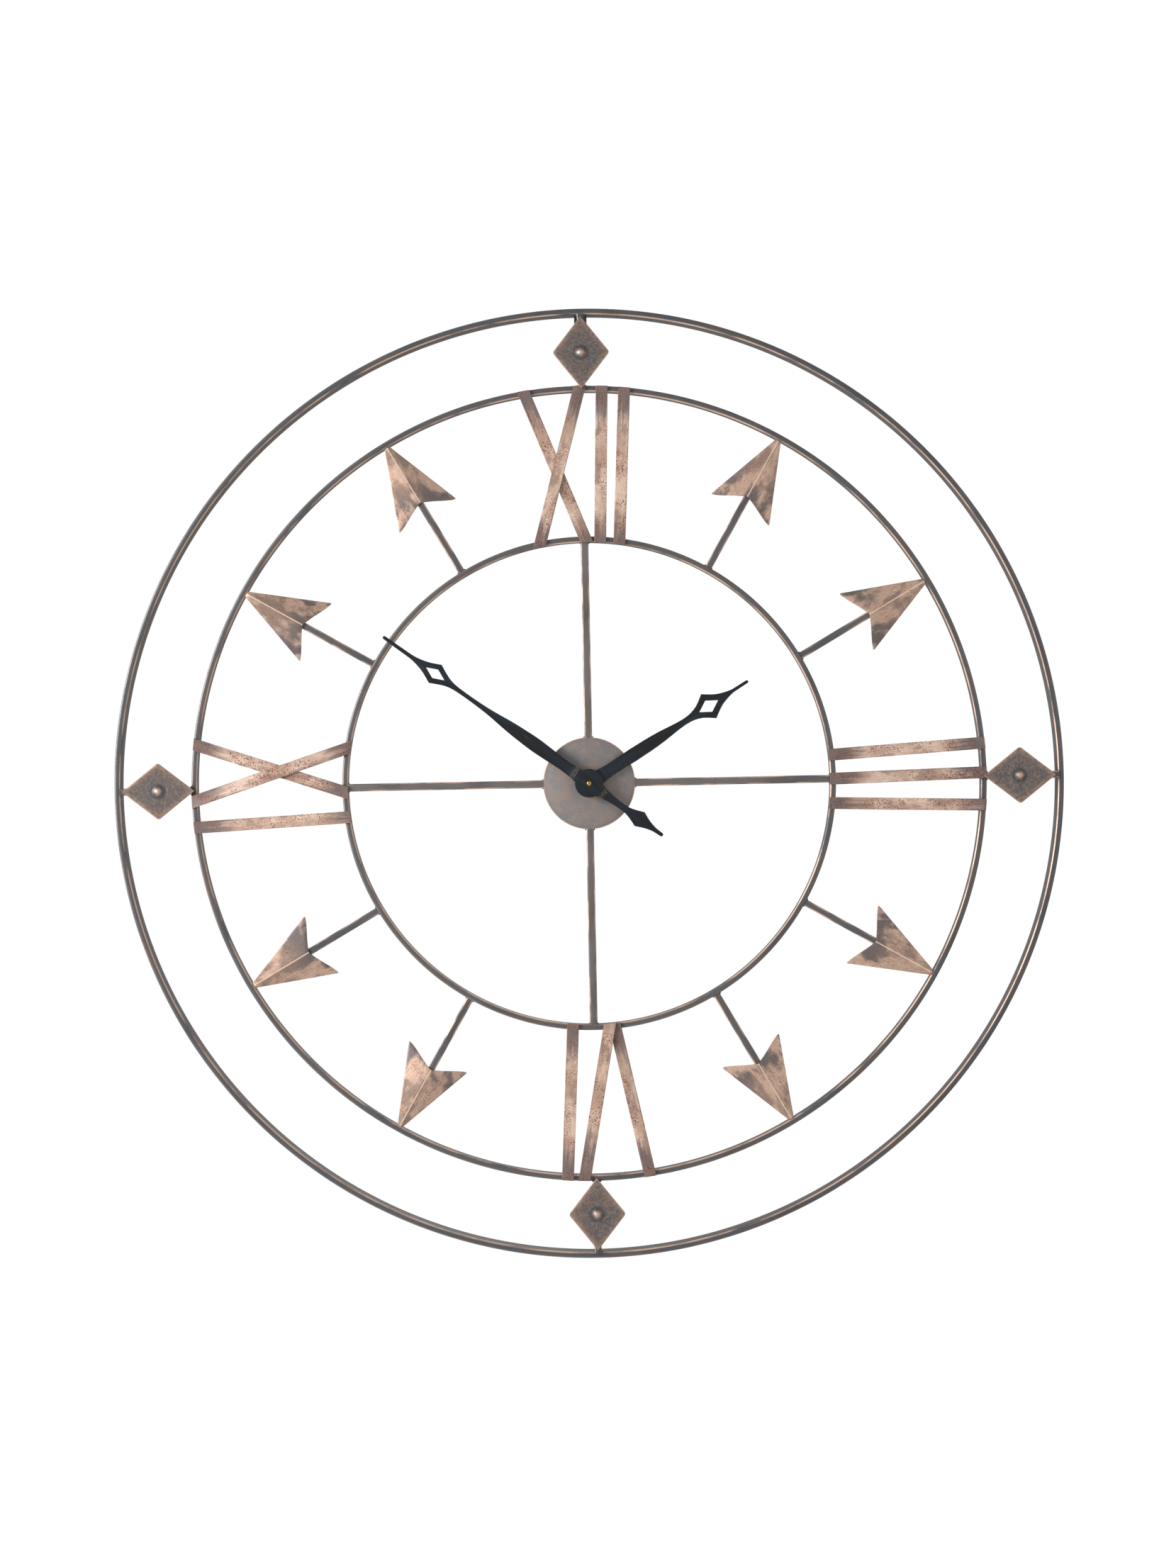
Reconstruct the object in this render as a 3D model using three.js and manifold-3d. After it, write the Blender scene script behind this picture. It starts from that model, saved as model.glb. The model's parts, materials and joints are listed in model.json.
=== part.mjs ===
// Skeleton wall clock: three iron rings, Roman numerals of flat bar, folded sheet arrowheads,
// diamond plates, a centre disc with a quartz movement behind it, and two blued hands.
// Millimetres, +Z up. The dial axis is Y, the dial faces -Y, and the wall is the plane y = 0.
// The origin is the point of the wall behind the middle of the dial.
import * as THREE from "three";
import { mergeVertices } from "three/addons/utils/BufferGeometryUtils.js";
import Module from "manifold-3d";

const wasm = await Module();
wasm.setup();

// ---- driving dimensions -------------------------------------------------------------------

// rings of flat bar, rolled on edge
const outerRingRadius = 400;
const outerRingDepth = 20; // from the wall to the dial's front plane
const middleRingRadius = 335;
const innerRingRadius = 208;
const innerBarDepth = 12; // depth of the middle and inner rings
const ringBarWidth = 5;
const ringEdgeRounding = 1.5;
const ringSegments = 96;

// centre disc and spokes
const discRadius = 38.7;
const discThickness = 1.5;
const spokeWidth = 6.4;
const spokeDepth = 5;

// numerals of flat bar
const numeralWidth = 10;
const numeralThickness = 2;
const numeralRamp = 22; // length over which a bar rises to pass over another
const footGap = 0.9; // between the feet of the twelve's X and its first I

// hour markers
const shaftSide = 5.7;
const shaftSetBack = 1; // how far the shafts lie behind the dial's front plane
const arrowLength = 66; // from tip to barb, along the shaft
const arrowNotchDepth = 12.2; // from barb to notch, along the shaft
const arrowHalfSpan = 28.4;
const arrowTipHalfWidth = 2.4;
const arrowBarbRounding = 2;
const arrowSheet = 1.5;
const arrowFoldDrop = 6; // how far the barbs lie behind the ridge
const shaftLap = 20; // how far the shaft runs on under the head

// diamonds between the middle and outer rings
const diamondHalfWidth = 23.3;
const diamondOverlap = 2.8; // how far its tip lies over the middle ring
const diamondSetIn = 2; // from its outer tip to the outer ring
const diamondSheet = 1.5;
const diamondCornerRounding = 2.7;
const bossRadius = 4.6;
const bossHeight = 2.2;
const linkWidth = 6;
const linkBack = 6; // how far the link reaches behind the dial's front plane

// keyhole hanger behind the top diamond
const hangerStemWidth = 10.6;
const hangerEyeRadius = 12;
const hangerThickness = 2;
const keyholeRadius = 4.5;
const keyholeSlotHalfWidth = 2.4;
const keyholeRise = 7.5;

// hands
const handThickness = 1;
const handJoggle = 1.2; // how far the boss stands in front of the arms
const joggleStart = 13;
const joggleEnd = 18;
const handBossRadius = 12;
const minuteHandLength = 212.5;
const minuteTailLength = 76;
const minuteDiamondAt = 158.6; // from the pivot to the corners of the open diamond
const hourHandLength = 159;
const hourDiamondAt = 119.6;
const minuteHandAngle = 306.5; // degrees clockwise from twelve, at rest
const hourHandAngle = 58.3;

// quartz movement
const caseWall = 1.4;
const contactRoom = 1.5; // at each end of the cell, for a contact strip
const bayGap = 0.43; // between the centre wheel and the wall of the battery bay
const caseFloor = 1.2;
const caseCornerRadius = 4;
const coverThickness = 1.2;
const washerThickness = 0.8;
const washerRadius = 13;
const bushRadius = 4.7;
const hourTubeRadius = 3;
const arborRadius = 2;
const nutAcrossFlats = 14;
const nutThickness = 2.5;
const cellRadius = 7;
const cellLength = 50.2;
const knobRadius = 6;
const knobThickness = 1.5;

// motion work, then the going train: teeth and module
const cannonTeeth = 12;
const motionTeeth = 36;
const motionModule = 0.5;
const motionPinionTeeth = 10;
const hourTeeth = 40;
const centreTeeth = 100;
const trainTeeth = 96;
const trainPinionTeeth = 8;
const trainModule = 0.2;

// clearances
const weldGap = 0.3; // between pieces that are welded or rest on each other
const runGap = 0.3; // between a turning piece and what it turns in
const pressGap = 0.12; // between a hub and what it is pressed onto

// ---- derived places -----------------------------------------------------------------------

const front = -outerRingDepth; // front plane of the rings, spokes and disc
const middleRingBore = middleRingRadius - ringBarWidth;
const innerRingBore = innerRingRadius - ringBarWidth;
const outerRingBore = outerRingRadius - ringBarWidth;
const numeralBack = front;
const plateBack = front - numeralThickness - weldGap; // diamonds clear the ends of the numerals
const nutFront = front - nutThickness;
const bushFront = nutFront - 1;
const hourArmBack = bushFront - 0.4;
const minuteArmBack = hourArmBack - handThickness - handJoggle - 0.9;
const tubeFront = hourArmBack - handJoggle - handThickness + 0.1;
const arborFront = minuteArmBack - handJoggle - handThickness - 1.3;
const centreWheelTip = (centreTeeth / 2 + 0.85) * trainModule;
// the case holds the cell under the centre wheel: as wide as the cell is long, as deep as it is thick
const caseHalfWidth = cellLength / 2 + contactRoom + caseWall;
const caseHalfHeight = centreWheelTip + bayGap + 2 * (caseWall + weldGap + cellRadius);
const caseDepth = caseFloor + weldGap + 2 * cellRadius - coverThickness;
const caseFront = front + discThickness + washerThickness;
const floor = caseFront + caseFloor; // inside of the case, where its layers start
const coverInside = caseFront + caseDepth;
const coverOutside = coverInside + coverThickness;
const pocketX = caseHalfWidth - caseWall; // the case's inside, from its middle
const pocketZ = caseHalfHeight - caseWall;
const cellMiddleZ = weldGap + cellRadius - pocketZ;
const bayWall = cellMiddleZ + cellRadius + weldGap + caseWall; // where the train chamber starts

// ---- geometry helpers ---------------------------------------------------------------------

function solidOf(geometry) {
  const bare = geometry.clone();
  bare.deleteAttribute("normal");
  bare.deleteAttribute("uv");
  const merged = mergeVertices(bare, 1e-4);
  return new wasm.Manifold(
    new wasm.Mesh({
      numProp: 3,
      vertProperties: merged.attributes.position.array,
      triVerts: new Uint32Array(merged.index.array),
    }),
  );
}

function geometryOf(solid) {
  const mesh = solid.getMesh();
  const geometry = new THREE.BufferGeometry();
  geometry.setAttribute("position", new THREE.BufferAttribute(mesh.vertProperties, 3));
  geometry.setIndex(new THREE.BufferAttribute(mesh.triVerts, 1));
  geometry.computeVertexNormals();
  return geometry;
}

function joined(...geometries) {
  return geometryOf(geometries.map(solidOf).reduce((a, b) => a.add(b)));
}

function cutFrom(geometry, ...cutters) {
  return geometryOf(cutters.map(solidOf).reduce((a, b) => a.subtract(b), solidOf(geometry)));
}

// A shape drawn in the dial's plane (x, z), made a plate from the plane y = back towards the front.
function plate(shape, back, thickness, curveSegments = 6) {
  const geometry = new THREE.ExtrudeGeometry(shape, {
    depth: thickness,
    bevelEnabled: false,
    curveSegments,
  });
  return geometry.rotateX(Math.PI / 2).translate(0, back, 0);
}

function box(x0, x1, y0, y1, z0, z1) {
  return new THREE.BoxGeometry(x1 - x0, y1 - y0, z1 - z0).translate(
    (x0 + x1) / 2,
    (y0 + y1) / 2,
    (z0 + z1) / 2,
  );
}

// A body of revolution about the dial axis, or about a parallel axis through (x, z).
// Its profile is a list of [radius, y], from the front to the back on its outside.
function turned(profile, segments = 24, x = 0, z = 0) {
  const points = profile.map(([radius, y]) => new THREE.Vector2(radius, y));
  return new THREE.LatheGeometry(points, segments).translate(x, 0, z);
}

function drum(radius, yFront, yBack, segments = 24, x = 0, z = 0) {
  return turned([[0, yFront], [radius, yFront], [radius, yBack], [0, yBack]], segments, x, z);
}

function collar(bore, radius, yFront, yBack, segments = 24) {
  const profile = [[bore, yFront], [radius, yFront], [radius, yBack], [bore, yBack], [bore, yFront]];
  return turned(profile, segments);
}

function roundHole(x, y, radius) {
  return new THREE.Path().absarc(x, y, radius, 0, 2 * Math.PI, true);
}

const group = new THREE.Group();

const finishes = {
  slateIron: { color: 0x54585e, roughness: 0.5, metalness: 0.6 },
  copperWash: { color: 0xb4917b, roughness: 0.55, metalness: 0.4 },
  bronzePlate: { color: 0x6a5c55, roughness: 0.5, metalness: 0.5 },
  blackBlue: { color: 0x14181f, roughness: 0.45, metalness: 0.4 },
  brass: { color: 0xc19a5b, roughness: 0.3, metalness: 1 },
  casePlastic: { color: 0x1a1a1c, roughness: 0.6, metalness: 0 },
  whiteNylon: { color: 0xe6e3da, roughness: 0.5, metalness: 0 },
  rubber: { color: 0x101010, roughness: 0.9, metalness: 0 },
  copperWire: { color: 0xa8562a, roughness: 0.4, metalness: 0.8 },
  softIron: { color: 0x9a9c9f, roughness: 0.4, metalness: 1 },
  circuitGreen: { color: 0x1f5a36, roughness: 0.5, metalness: 0 },
  cellJacket: { color: 0x2f6f4a, roughness: 0.35, metalness: 0.2 },
};

function addPiece(name, geometry, finish, angle = 0) {
  const mesh = new THREE.Mesh(geometry, new THREE.MeshStandardMaterial(finishes[finish]));
  mesh.name = name;
  mesh.rotation.y = THREE.MathUtils.degToRad(angle); // clockwise from twelve, seen from the front
  group.add(mesh);
}

// ---- rings, disc and spokes ---------------------------------------------------------------

function ring(radius, depth) {
  const bore = radius - ringBarWidth;
  const round = ringEdgeRounding;
  const corner = Math.SQRT1_2 * round; // a point at the middle of each rounded front edge
  const profile = [
    [bore, front + depth],
    [bore, front + round],
    [bore + round - corner, front + round - corner],
    [bore + round, front],
    [radius - round, front],
    [radius - round + corner, front + round - corner],
    [radius, front + round],
    [radius, front + depth],
    [bore, front + depth],
  ];
  return turned(profile, ringSegments);
}

addPiece("outer_ring", ring(outerRingRadius, outerRingDepth), "slateIron");
addPiece("middle_ring", ring(middleRingRadius, innerBarDepth), "slateIron");
addPiece("inner_ring", ring(innerRingRadius, innerBarDepth), "slateIron");
const disc = collar(bushRadius + weldGap, discRadius, front, front + discThickness, 48);
addPiece("dial_disc", disc, "slateIron");

const ringFlat = Math.cos(Math.PI / ringSegments); // a ring's flats lie this much inside its corners

const spoke = box(
  -spokeWidth / 2,
  spokeWidth / 2,
  front,
  front + spokeDepth,
  discRadius + weldGap,
  innerRingBore * ringFlat - weldGap,
);
for (const hour of [12, 3, 6, 9]) {
  addPiece("spoke_" + hour, spoke.clone(), "slateIron", hour * 30);
}

// ---- numerals -----------------------------------------------------------------------------

// The zone that the bars' ends are trimmed to, from the inner ring's bore to the middle ring's rim.
const zoneDepth = 4 * (numeralThickness + weldGap);
const numeralZone = solidOf(
  collar(innerRingBore, middleRingRadius, front - zoneDepth, front, ringSegments),
);

// The two ends of a bar's middle line, from its offsets on the middle ring's rim and the inner
// ring's bore.
function barEnds([outerOffset, innerOffset]) {
  return [
    new THREE.Vector2(outerOffset, Math.sqrt(middleRingRadius ** 2 - outerOffset ** 2)),
    new THREE.Vector2(innerOffset, Math.sqrt(innerRingBore ** 2 - innerOffset ** 2)),
  ];
}

// One flat bar of a numeral at twelve. Where it crosses the bar beneath, it bows over it.
function numeralBar(offsets, beneath) {
  const [start, end] = barEnds(offsets);
  const along = end.clone().sub(start);
  const length = along.length();
  const direction = along.clone().normalize();
  const lift = numeralThickness + weldGap;
  let crossing = 0;
  let flat = 0; // half the length over which the bar keeps its full lift
  if (beneath) {
    const [otherStart, otherEnd] = barEnds(beneath);
    const other = otherEnd.clone().sub(otherStart).normalize();
    const sine = direction.cross(other);
    crossing = otherStart.clone().sub(start).cross(other) / sine;
    flat = (numeralWidth * (1 + direction.dot(other))) / Math.abs(2 * sine) + 1;
  }
  const rise = (s) => {
    const ramp = THREE.MathUtils.smoothstep(Math.abs(s - crossing), flat, flat + numeralRamp);
    return beneath ? lift * (1 - ramp) : 0;
  };
  const spare = numeralWidth; // trimmed off again at the rings
  const steps = beneath ? 24 : 1;
  const stations = [];
  for (let i = 0; i <= steps; i += 1) stations.push(-spare + ((length + 2 * spare) * i) / steps);
  const side = new THREE.Shape();
  stations.forEach((s, i) => (i ? side.lineTo(s, -rise(s)) : side.moveTo(s, -rise(s))));
  stations.reverse().forEach((s) => side.lineTo(s, -rise(s) - numeralThickness));
  const strip = new THREE.ExtrudeGeometry(side, { depth: numeralWidth, bevelEnabled: false })
    .translate(0, numeralBack, -numeralWidth / 2)
    .rotateY(Math.atan2(-along.y, along.x))
    .translate(start.x, 0, start.y);
  return geometryOf(solidOf(strip).intersect(numeralZone));
}

// Each bar's offsets on the middle and the inner ring, clockwise positive, and the bar it lies over.
const xTop = -49.4;
const xFoot = 1.9;
const xLean = Math.atan2(xFoot - xTop, middleRingRadius - innerRingBore);
const footSpacing = (numeralWidth / 2) * (1 + 1 / Math.cos(xLean)) + footGap;
const numerals = {
  12: {
    x_back: [xTop, xFoot],
    x_front: [-1.5, -38.1, "x_back"],
    i_left: [16.9, xFoot + footSpacing],
    i_right: [35.8, 29.3],
  },
  3: {
    i_top: [-27.9, -20],
    i_middle: [-3, 0.1],
    i_bottom: [24.4, 20.5],
  },
  6: {
    i: [24.3, 17.4],
    v_front: [10.3, -13.7, "v_back"],
    v_back: [-45.3, -17.4],
  },
  9: {
    x_back: [39.2, -4.4],
    x_front: [-9.7, 34.4, "x_back"],
    i: [-31.2, -24.6],
  },
};
for (const [hour, bars] of Object.entries(numerals)) {
  for (const [name, [outerOffset, innerOffset, over]] of Object.entries(bars)) {
    const bar = numeralBar([outerOffset, innerOffset], over && bars[over]);
    addPiece(`numeral_${hour}_${name}`, bar, "copperWash", hour * 30);
  }
}

// ---- hour markers -------------------------------------------------------------------------

const arrowTip = middleRingBore * ringFlat - weldGap;
const arrowBarb = arrowTip - arrowLength;
const arrowNotch = arrowBarb + arrowNotchDepth;
const shaftFront = front + shaftSetBack;

// Half of the folded sheet, sheared back from the ridge; side is 1 or -1.
function arrowWing(side) {
  const wing = new THREE.Shape();
  wing.moveTo(0, arrowNotch);
  wing.quadraticCurveTo(
    side * arrowHalfSpan * 0.55,
    (arrowNotch + arrowBarb) / 2 + 2.2,
    side * (arrowHalfSpan - 2 * arrowBarbRounding),
    arrowBarb + 1,
  );
  wing.quadraticCurveTo(
    side * (arrowHalfSpan - 0.2),
    arrowBarb - 0.8,
    side * (arrowHalfSpan - 0.3),
    arrowBarb + arrowBarbRounding,
  );
  wing.lineTo(side * arrowTipHalfWidth, arrowTip);
  wing.lineTo(0, arrowTip);
  const geometry = plate(wing, 0, arrowSheet, 3);
  const position = geometry.attributes.position;
  for (let i = 0; i < position.count; i += 1) {
    const drop = (Math.abs(position.getX(i)) / arrowHalfSpan) * arrowFoldDrop;
    position.setY(i, position.getY(i) + shaftFront - weldGap + drop);
  }
  return geometry;
}

const arrowhead = joined(arrowWing(1), arrowWing(-1));
const arrowShaft = box(
  -shaftSide / 2,
  shaftSide / 2,
  shaftFront,
  shaftFront + shaftSide,
  innerRingRadius + weldGap,
  arrowNotch + shaftLap,
);
// the folded wings fall back past the shaft's front, so its head end is bevelled to lie under them
const bevelSlope = arrowFoldDrop / arrowHalfSpan + 0.03;
const bevelStart = 4; // how far below the barbs the bevel starts
const bevelCutters = [-1, 1].map((side) => {
  const wedge = new THREE.Shape();
  wedge.moveTo(0, -1);
  wedge.lineTo(side * shaftSide, -1);
  wedge.lineTo(side * shaftSide, bevelSlope * shaftSide);
  wedge.lineTo(0, 0);
  return new THREE.ExtrudeGeometry(wedge, { depth: arrowLength, bevelEnabled: false }).translate(
    0,
    shaftFront,
    arrowBarb - bevelStart,
  );
});
const seatedShaft = cutFrom(arrowShaft, ...bevelCutters);

for (const hour of [1, 2, 4, 5, 7, 8, 10, 11]) {
  addPiece("arrow_shaft_" + hour, seatedShaft.clone(), "slateIron", hour * 30);
  addPiece("arrowhead_" + hour, arrowhead.clone(), "copperWash", hour * 30);
}

// ---- diamonds and hanger ------------------------------------------------------------------

const diamondFoot = middleRingRadius - diamondOverlap;
const diamondTop = outerRingBore - diamondSetIn;
const diamondMiddle = (diamondFoot + diamondTop) / 2;

function diamondShape() {
  const halfHeight = (diamondTop - diamondFoot) / 2;
  const slope = Math.atan2(diamondHalfWidth, halfHeight);
  const round = diamondCornerRounding;
  const cornerX = diamondHalfWidth - round;
  const shape = new THREE.Shape();
  shape.moveTo(0, diamondFoot);
  shape.lineTo(cornerX + round * Math.cos(slope), diamondMiddle - round * Math.sin(slope));
  shape.absarc(cornerX, diamondMiddle, round, -slope, slope, false);
  shape.lineTo(0, diamondTop);
  shape.absarc(-cornerX, diamondMiddle, round, Math.PI - slope, Math.PI + slope, false);
  return shape;
}

const domeSteps = 4;
const dome = [[0, plateBack - diamondSheet - bossHeight]];
for (let i = 1; i <= domeSteps; i += 1) {
  const turn = ((Math.PI / 2) * i) / domeSteps;
  dome.push([bossRadius * Math.sin(turn), plateBack - diamondSheet - bossHeight * Math.cos(turn)]);
}
dome.push([bossRadius, plateBack - 0.4], [0, plateBack - 0.4]);

const diamond = joined(
  plate(diamondShape(), plateBack, diamondSheet),
  turned(dome, 16, 0, diamondMiddle),
  box(
    -linkWidth / 2,
    linkWidth / 2,
    plateBack - diamondSheet / 2,
    front + linkBack,
    middleRingRadius + weldGap,
    outerRingBore * ringFlat - weldGap,
  ),
);
for (const hour of [12, 3, 6, 9]) {
  addPiece("diamond_" + hour, diamond.clone(), "bronzePlate", hour * 30);
}

function hangerShape() {
  const stemTop = outerRingBore * ringFlat - weldGap;
  const stem = hangerStemWidth / 2;
  const lean = Math.asin(stem / hangerEyeRadius);
  const shape = new THREE.Shape();
  shape.moveTo(stem, stemTop);
  shape.lineTo(-stem, stemTop);
  shape.absarc(0, diamondMiddle, hangerEyeRadius, Math.PI / 2 + lean, Math.PI / 2 - lean, false);
  shape.lineTo(stem, stemTop);
  const slot = keyholeSlotHalfWidth;
  const mouth = Math.asin(slot / keyholeRadius);
  const keyhole = new THREE.Path();
  keyhole.absarc(0, diamondMiddle, keyholeRadius, Math.PI / 2 + mouth, Math.PI / 2 - mouth, false);
  keyhole.absarc(0, diamondMiddle + keyholeRise, slot, 0, Math.PI, false);
  keyhole.closePath();
  shape.holes.push(keyhole);
  return shape;
}
addPiece("wall_hanger", plate(hangerShape(), 0, hangerThickness), "slateIron");

// ---- hands --------------------------------------------------------------------------------

// The window of an open diamond, with its corners on the blade's middle line and on each side.
function windowPath(at, halfLength, halfWidth) {
  const path = new THREE.Path();
  path.moveTo(0, at - halfLength);
  path.lineTo(-halfWidth, at);
  path.lineTo(0, at + halfLength);
  path.lineTo(halfWidth, at);
  path.closePath();
  return path;
}

// One side of an arm, as [distance from the pivot, half-width] points that a spline runs through
// between corners; the other side mirrors it.
function armShape(stretches, tipRadius) {
  const right = [];
  for (const points of stretches) {
    const curve = new THREE.SplineCurve(points.map(([s, w]) => new THREE.Vector2(w, s)));
    const samples = curve.getPoints(points.length > 2 ? points.length * 3 : 1);
    if (right.length) samples.shift(); // the corner is there already
    right.push(...samples);
  }
  const tip = right[right.length - 1].y;
  for (const turn of [0.25, 0.5]) {
    const angle = turn * Math.PI;
    right.push(new THREE.Vector2(tipRadius * Math.cos(angle), tip + tipRadius * Math.sin(angle)));
  }
  const left = right.slice(0, -1).reverse();
  return new THREE.Shape([...right, ...left.map((p) => new THREE.Vector2(-p.x, p.y))]);
}

// A stamped hand: flat blades joined to a round boss, bent so that the boss stands in front.
function bentHand(arms, boreRadius, armBack) {
  const blades = arms.map((shape) => plate(shape, 0, handThickness));
  const bossShape = new THREE.Shape().absarc(0, 0, handBossRadius, 0, 2 * Math.PI);
  const boss = plate(bossShape, 0, handThickness, 18);
  const bore = drum(boreRadius, -2 * handThickness, handThickness);
  const flat = solidOf(cutFrom(joined(boss, ...blades), bore));
  const reach = 2 * minuteHandLength;
  const bands = [
    [-reach, -joggleEnd],
    [-joggleEnd, -joggleStart],
    [-joggleStart, joggleStart],
    [joggleStart, joggleEnd],
    [joggleEnd, reach],
  ];
  const forward = (z) => {
    const share = (joggleEnd - Math.abs(z)) / (joggleEnd - joggleStart);
    return handJoggle * THREE.MathUtils.clamp(share, 0, 1);
  };
  const bent = [];
  for (const [low, high] of bands) {
    const band = flat.intersect(solidOf(box(-40, 40, -10, 10, low, high)));
    if (band.volume() === 0) continue;
    const geometry = geometryOf(band);
    const position = geometry.attributes.position;
    for (let i = 0; i < position.count; i += 1) {
      position.setY(i, position.getY(i) - forward(position.getZ(i)) + armBack);
    }
    bent.push(geometry);
  }
  return joined(...bent);
}

const minuteBlade = armShape(
  [
    [
      [8, 6.2],
      [24, 4.8],
      [40, 5.4],
      [57, 5.9],
      [80, 4.8],
      [105, 2.4],
      [130, 1.85],
      [144.5, 3.2],
      [minuteDiamondAt, 9.3],
    ],
    [[minuteDiamondAt, 9.3], [169, 4.7], [180, 2.1], [191, 1.6], [minuteHandLength - 1.4, 1.4]],
  ],
  1.4,
);
minuteBlade.holes.push(windowPath(minuteDiamondAt, 9.4, 4.3));
const minuteTail = armShape(
  [
    [[8, 6.2], [20, 3.6], [34, 2.75], [42, 3.6], [52, 7.2]],
    [[52, 7.2], [59.7, 3.9], [67, 2], [minuteTailLength - 1.6, 1.6]],
  ],
  1.6,
);
const flippedTail = new THREE.Shape(
  minuteTail.getPoints(4).map((p) => new THREE.Vector2(-p.x, -p.y)),
);
const hourBlade = armShape(
  [
    [[8, 6.4], [22, 5.2], [44, 5.7], [69, 5], [95, 2.65], [108.7, 5], [hourDiamondAt, 12]],
    [[hourDiamondAt, 12], [130, 5.4], [141, 1.9], [148, 1.4], [hourHandLength - 1.3, 1.3]],
  ],
  1.3,
);
hourBlade.holes.push(windowPath(hourDiamondAt, 9.3, 5.5));

const minuteHand = bentHand([minuteBlade, flippedTail], arborRadius + pressGap, minuteArmBack);
const hourHand = bentHand([hourBlade], hourTubeRadius + pressGap, hourArmBack);
addPiece("minute_hand", minuteHand, "blackBlue", minuteHandAngle);
addPiece("hour_hand", hourHand, "blackBlue", hourHandAngle);

// ---- wheels of the movement ---------------------------------------------------------------

// Where the wheels' axes stand behind the dial, each at its mesh distance from the one before.
function meshedAt(from, distance, degrees) {
  const angle = THREE.MathUtils.degToRad(degrees);
  return { x: from.x + distance * Math.cos(angle), z: from.z + distance * Math.sin(angle), angle };
}
const arborAxis = { x: 0, z: 0 };
const motionDistance = ((cannonTeeth + motionTeeth) * motionModule) / 2;
const hourModule = (2 * motionDistance) / (motionPinionTeeth + hourTeeth);
const centreDistance = ((centreTeeth + trainPinionTeeth) * trainModule) / 2;
const trainDistance = ((trainTeeth + trainPinionTeeth) * trainModule) / 2;
const motionAxis = meshedAt(arborAxis, motionDistance, 135);
const knobAxis = meshedAt(motionAxis, motionDistance, 120);
const thirdAxis = meshedAt(arborAxis, centreDistance, 25);
const secondAxis = meshedAt(thirdAxis, trainDistance, 110);
const rotorAxis = meshedAt(secondAxis, trainDistance, 10);

// The turn that puts the driven wheel's gap on the driver's tooth, across the line of centres.
function meshPhase(driverTeeth, driverPhase, lineAngle, drivenTeeth) {
  const toothShare = ((driverPhase - lineAngle) * driverTeeth) / (2 * Math.PI);
  return lineAngle + Math.PI - ((2 * Math.PI) / drivenTeeth) * (toothShare + 0.5);
}

// A toothed outline. The shares are a tooth's width at its root and its tip, of the pitch.
function gearShape(teeth, toothModule, phase, rootShare, tipShare, bore = 0) {
  const pitchRadius = (teeth * toothModule) / 2;
  const root = pitchRadius - 1.15 * toothModule;
  const tip = pitchRadius + 0.85 * toothModule;
  const pitch = (2 * Math.PI) / teeth;
  const points = [];
  const put = (radius, angle) => {
    points.push(new THREE.Vector2(radius * Math.cos(angle), radius * Math.sin(angle)));
  };
  for (let i = 0; i < teeth; i += 1) {
    const middle = phase + i * pitch;
    put(root, middle - (rootShare / 2) * pitch);
    if (tipShare === 0) {
      put(tip, middle);
    } else {
      put(tip, middle - (tipShare / 2) * pitch);
      put(tip, middle + (tipShare / 2) * pitch);
    }
    if (rootShare < 1) put(root, middle + (rootShare / 2) * pitch);
  }
  const shape = new THREE.Shape(points);
  if (bore) shape.holes.push(roundHole(0, 0, bore));
  return shape;
}

function gear(axis, shape, yFront, thickness) {
  return plate(shape, yFront + thickness, thickness).translate(axis.x, 0, axis.z);
}
const pinionShape = (teeth, toothModule, phase, bore) =>
  gearShape(teeth, toothModule, phase, 0.5, 0.16, bore);
const fineWheelShape = (teeth, phase, bore) => gearShape(teeth, trainModule, phase, 1, 0, bore);

// layers behind the case floor, each wheel's front face
const bushFlange = 0.7;
const wheelThickness = 0.7;
const pinionReach = 0.25; // how far a pinion stands proud of its wheel on each side
const hourLayer = floor + weldGap + bushFlange + runGap;
const hourWheelThickness = 1;
const motionLayer = hourLayer + hourWheelThickness + 2 * pinionReach + 0.1;
const centreLayer = motionLayer + hourWheelThickness + 2 * pinionReach + 0.1;
const thirdLayer = centreLayer + wheelThickness + 2 * pinionReach + 0.1;
const secondLayer = thirdLayer + wheelThickness + 2 * pinionReach + 0.1;
const rotorLayer = secondLayer + wheelThickness + 2 * pinionReach;

const pivotRadius = 0.4;
const pivotSocketDepth = 0.7;
const pivotEnd = floor - pivotSocketDepth + 0.2;
const coverPivotEnd = coverInside + pivotSocketDepth - 0.2;

// minute arbor: brass arbor, cannon pinion and centre wheel in one
const arborBack = centreLayer + wheelThickness;
const centreWheel = gear(arborAxis, fineWheelShape(centreTeeth, 0), centreLayer, wheelThickness);
const cannonPhase = 0;
const cannonPinion = gear(
  arborAxis,
  pinionShape(cannonTeeth, motionModule, cannonPhase),
  motionLayer - pinionReach,
  hourWheelThickness + 2 * pinionReach,
);
const arborShaft = turned(
  [
    [0, arborFront],
    [arborRadius * 0.6, arborFront + 0.25],
    [arborRadius, arborFront + 0.9],
    [arborRadius, arborBack],
    [0, arborBack],
  ],
  20,
);
addPiece("minute_arbor", joined(arborShaft, cannonPinion, centreWheel), "brass");

// motion wheel on its post, driving the hour wheel at a twelfth of the arbor's speed
const motionPhase = meshPhase(cannonTeeth, cannonPhase, motionAxis.angle, motionTeeth);
const motionBore = 0.9;
const motionWheel = joined(
  gear(
    motionAxis,
    pinionShape(motionTeeth, motionModule, motionPhase, motionBore),
    motionLayer,
    hourWheelThickness,
  ),
  gear(
    motionAxis,
    pinionShape(motionPinionTeeth, hourModule, motionPhase, motionBore),
    hourLayer - pinionReach,
    motionLayer - hourLayer + pinionReach + 0.2,
  ),
);
addPiece("motion_wheel", motionWheel, "whiteNylon");

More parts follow.
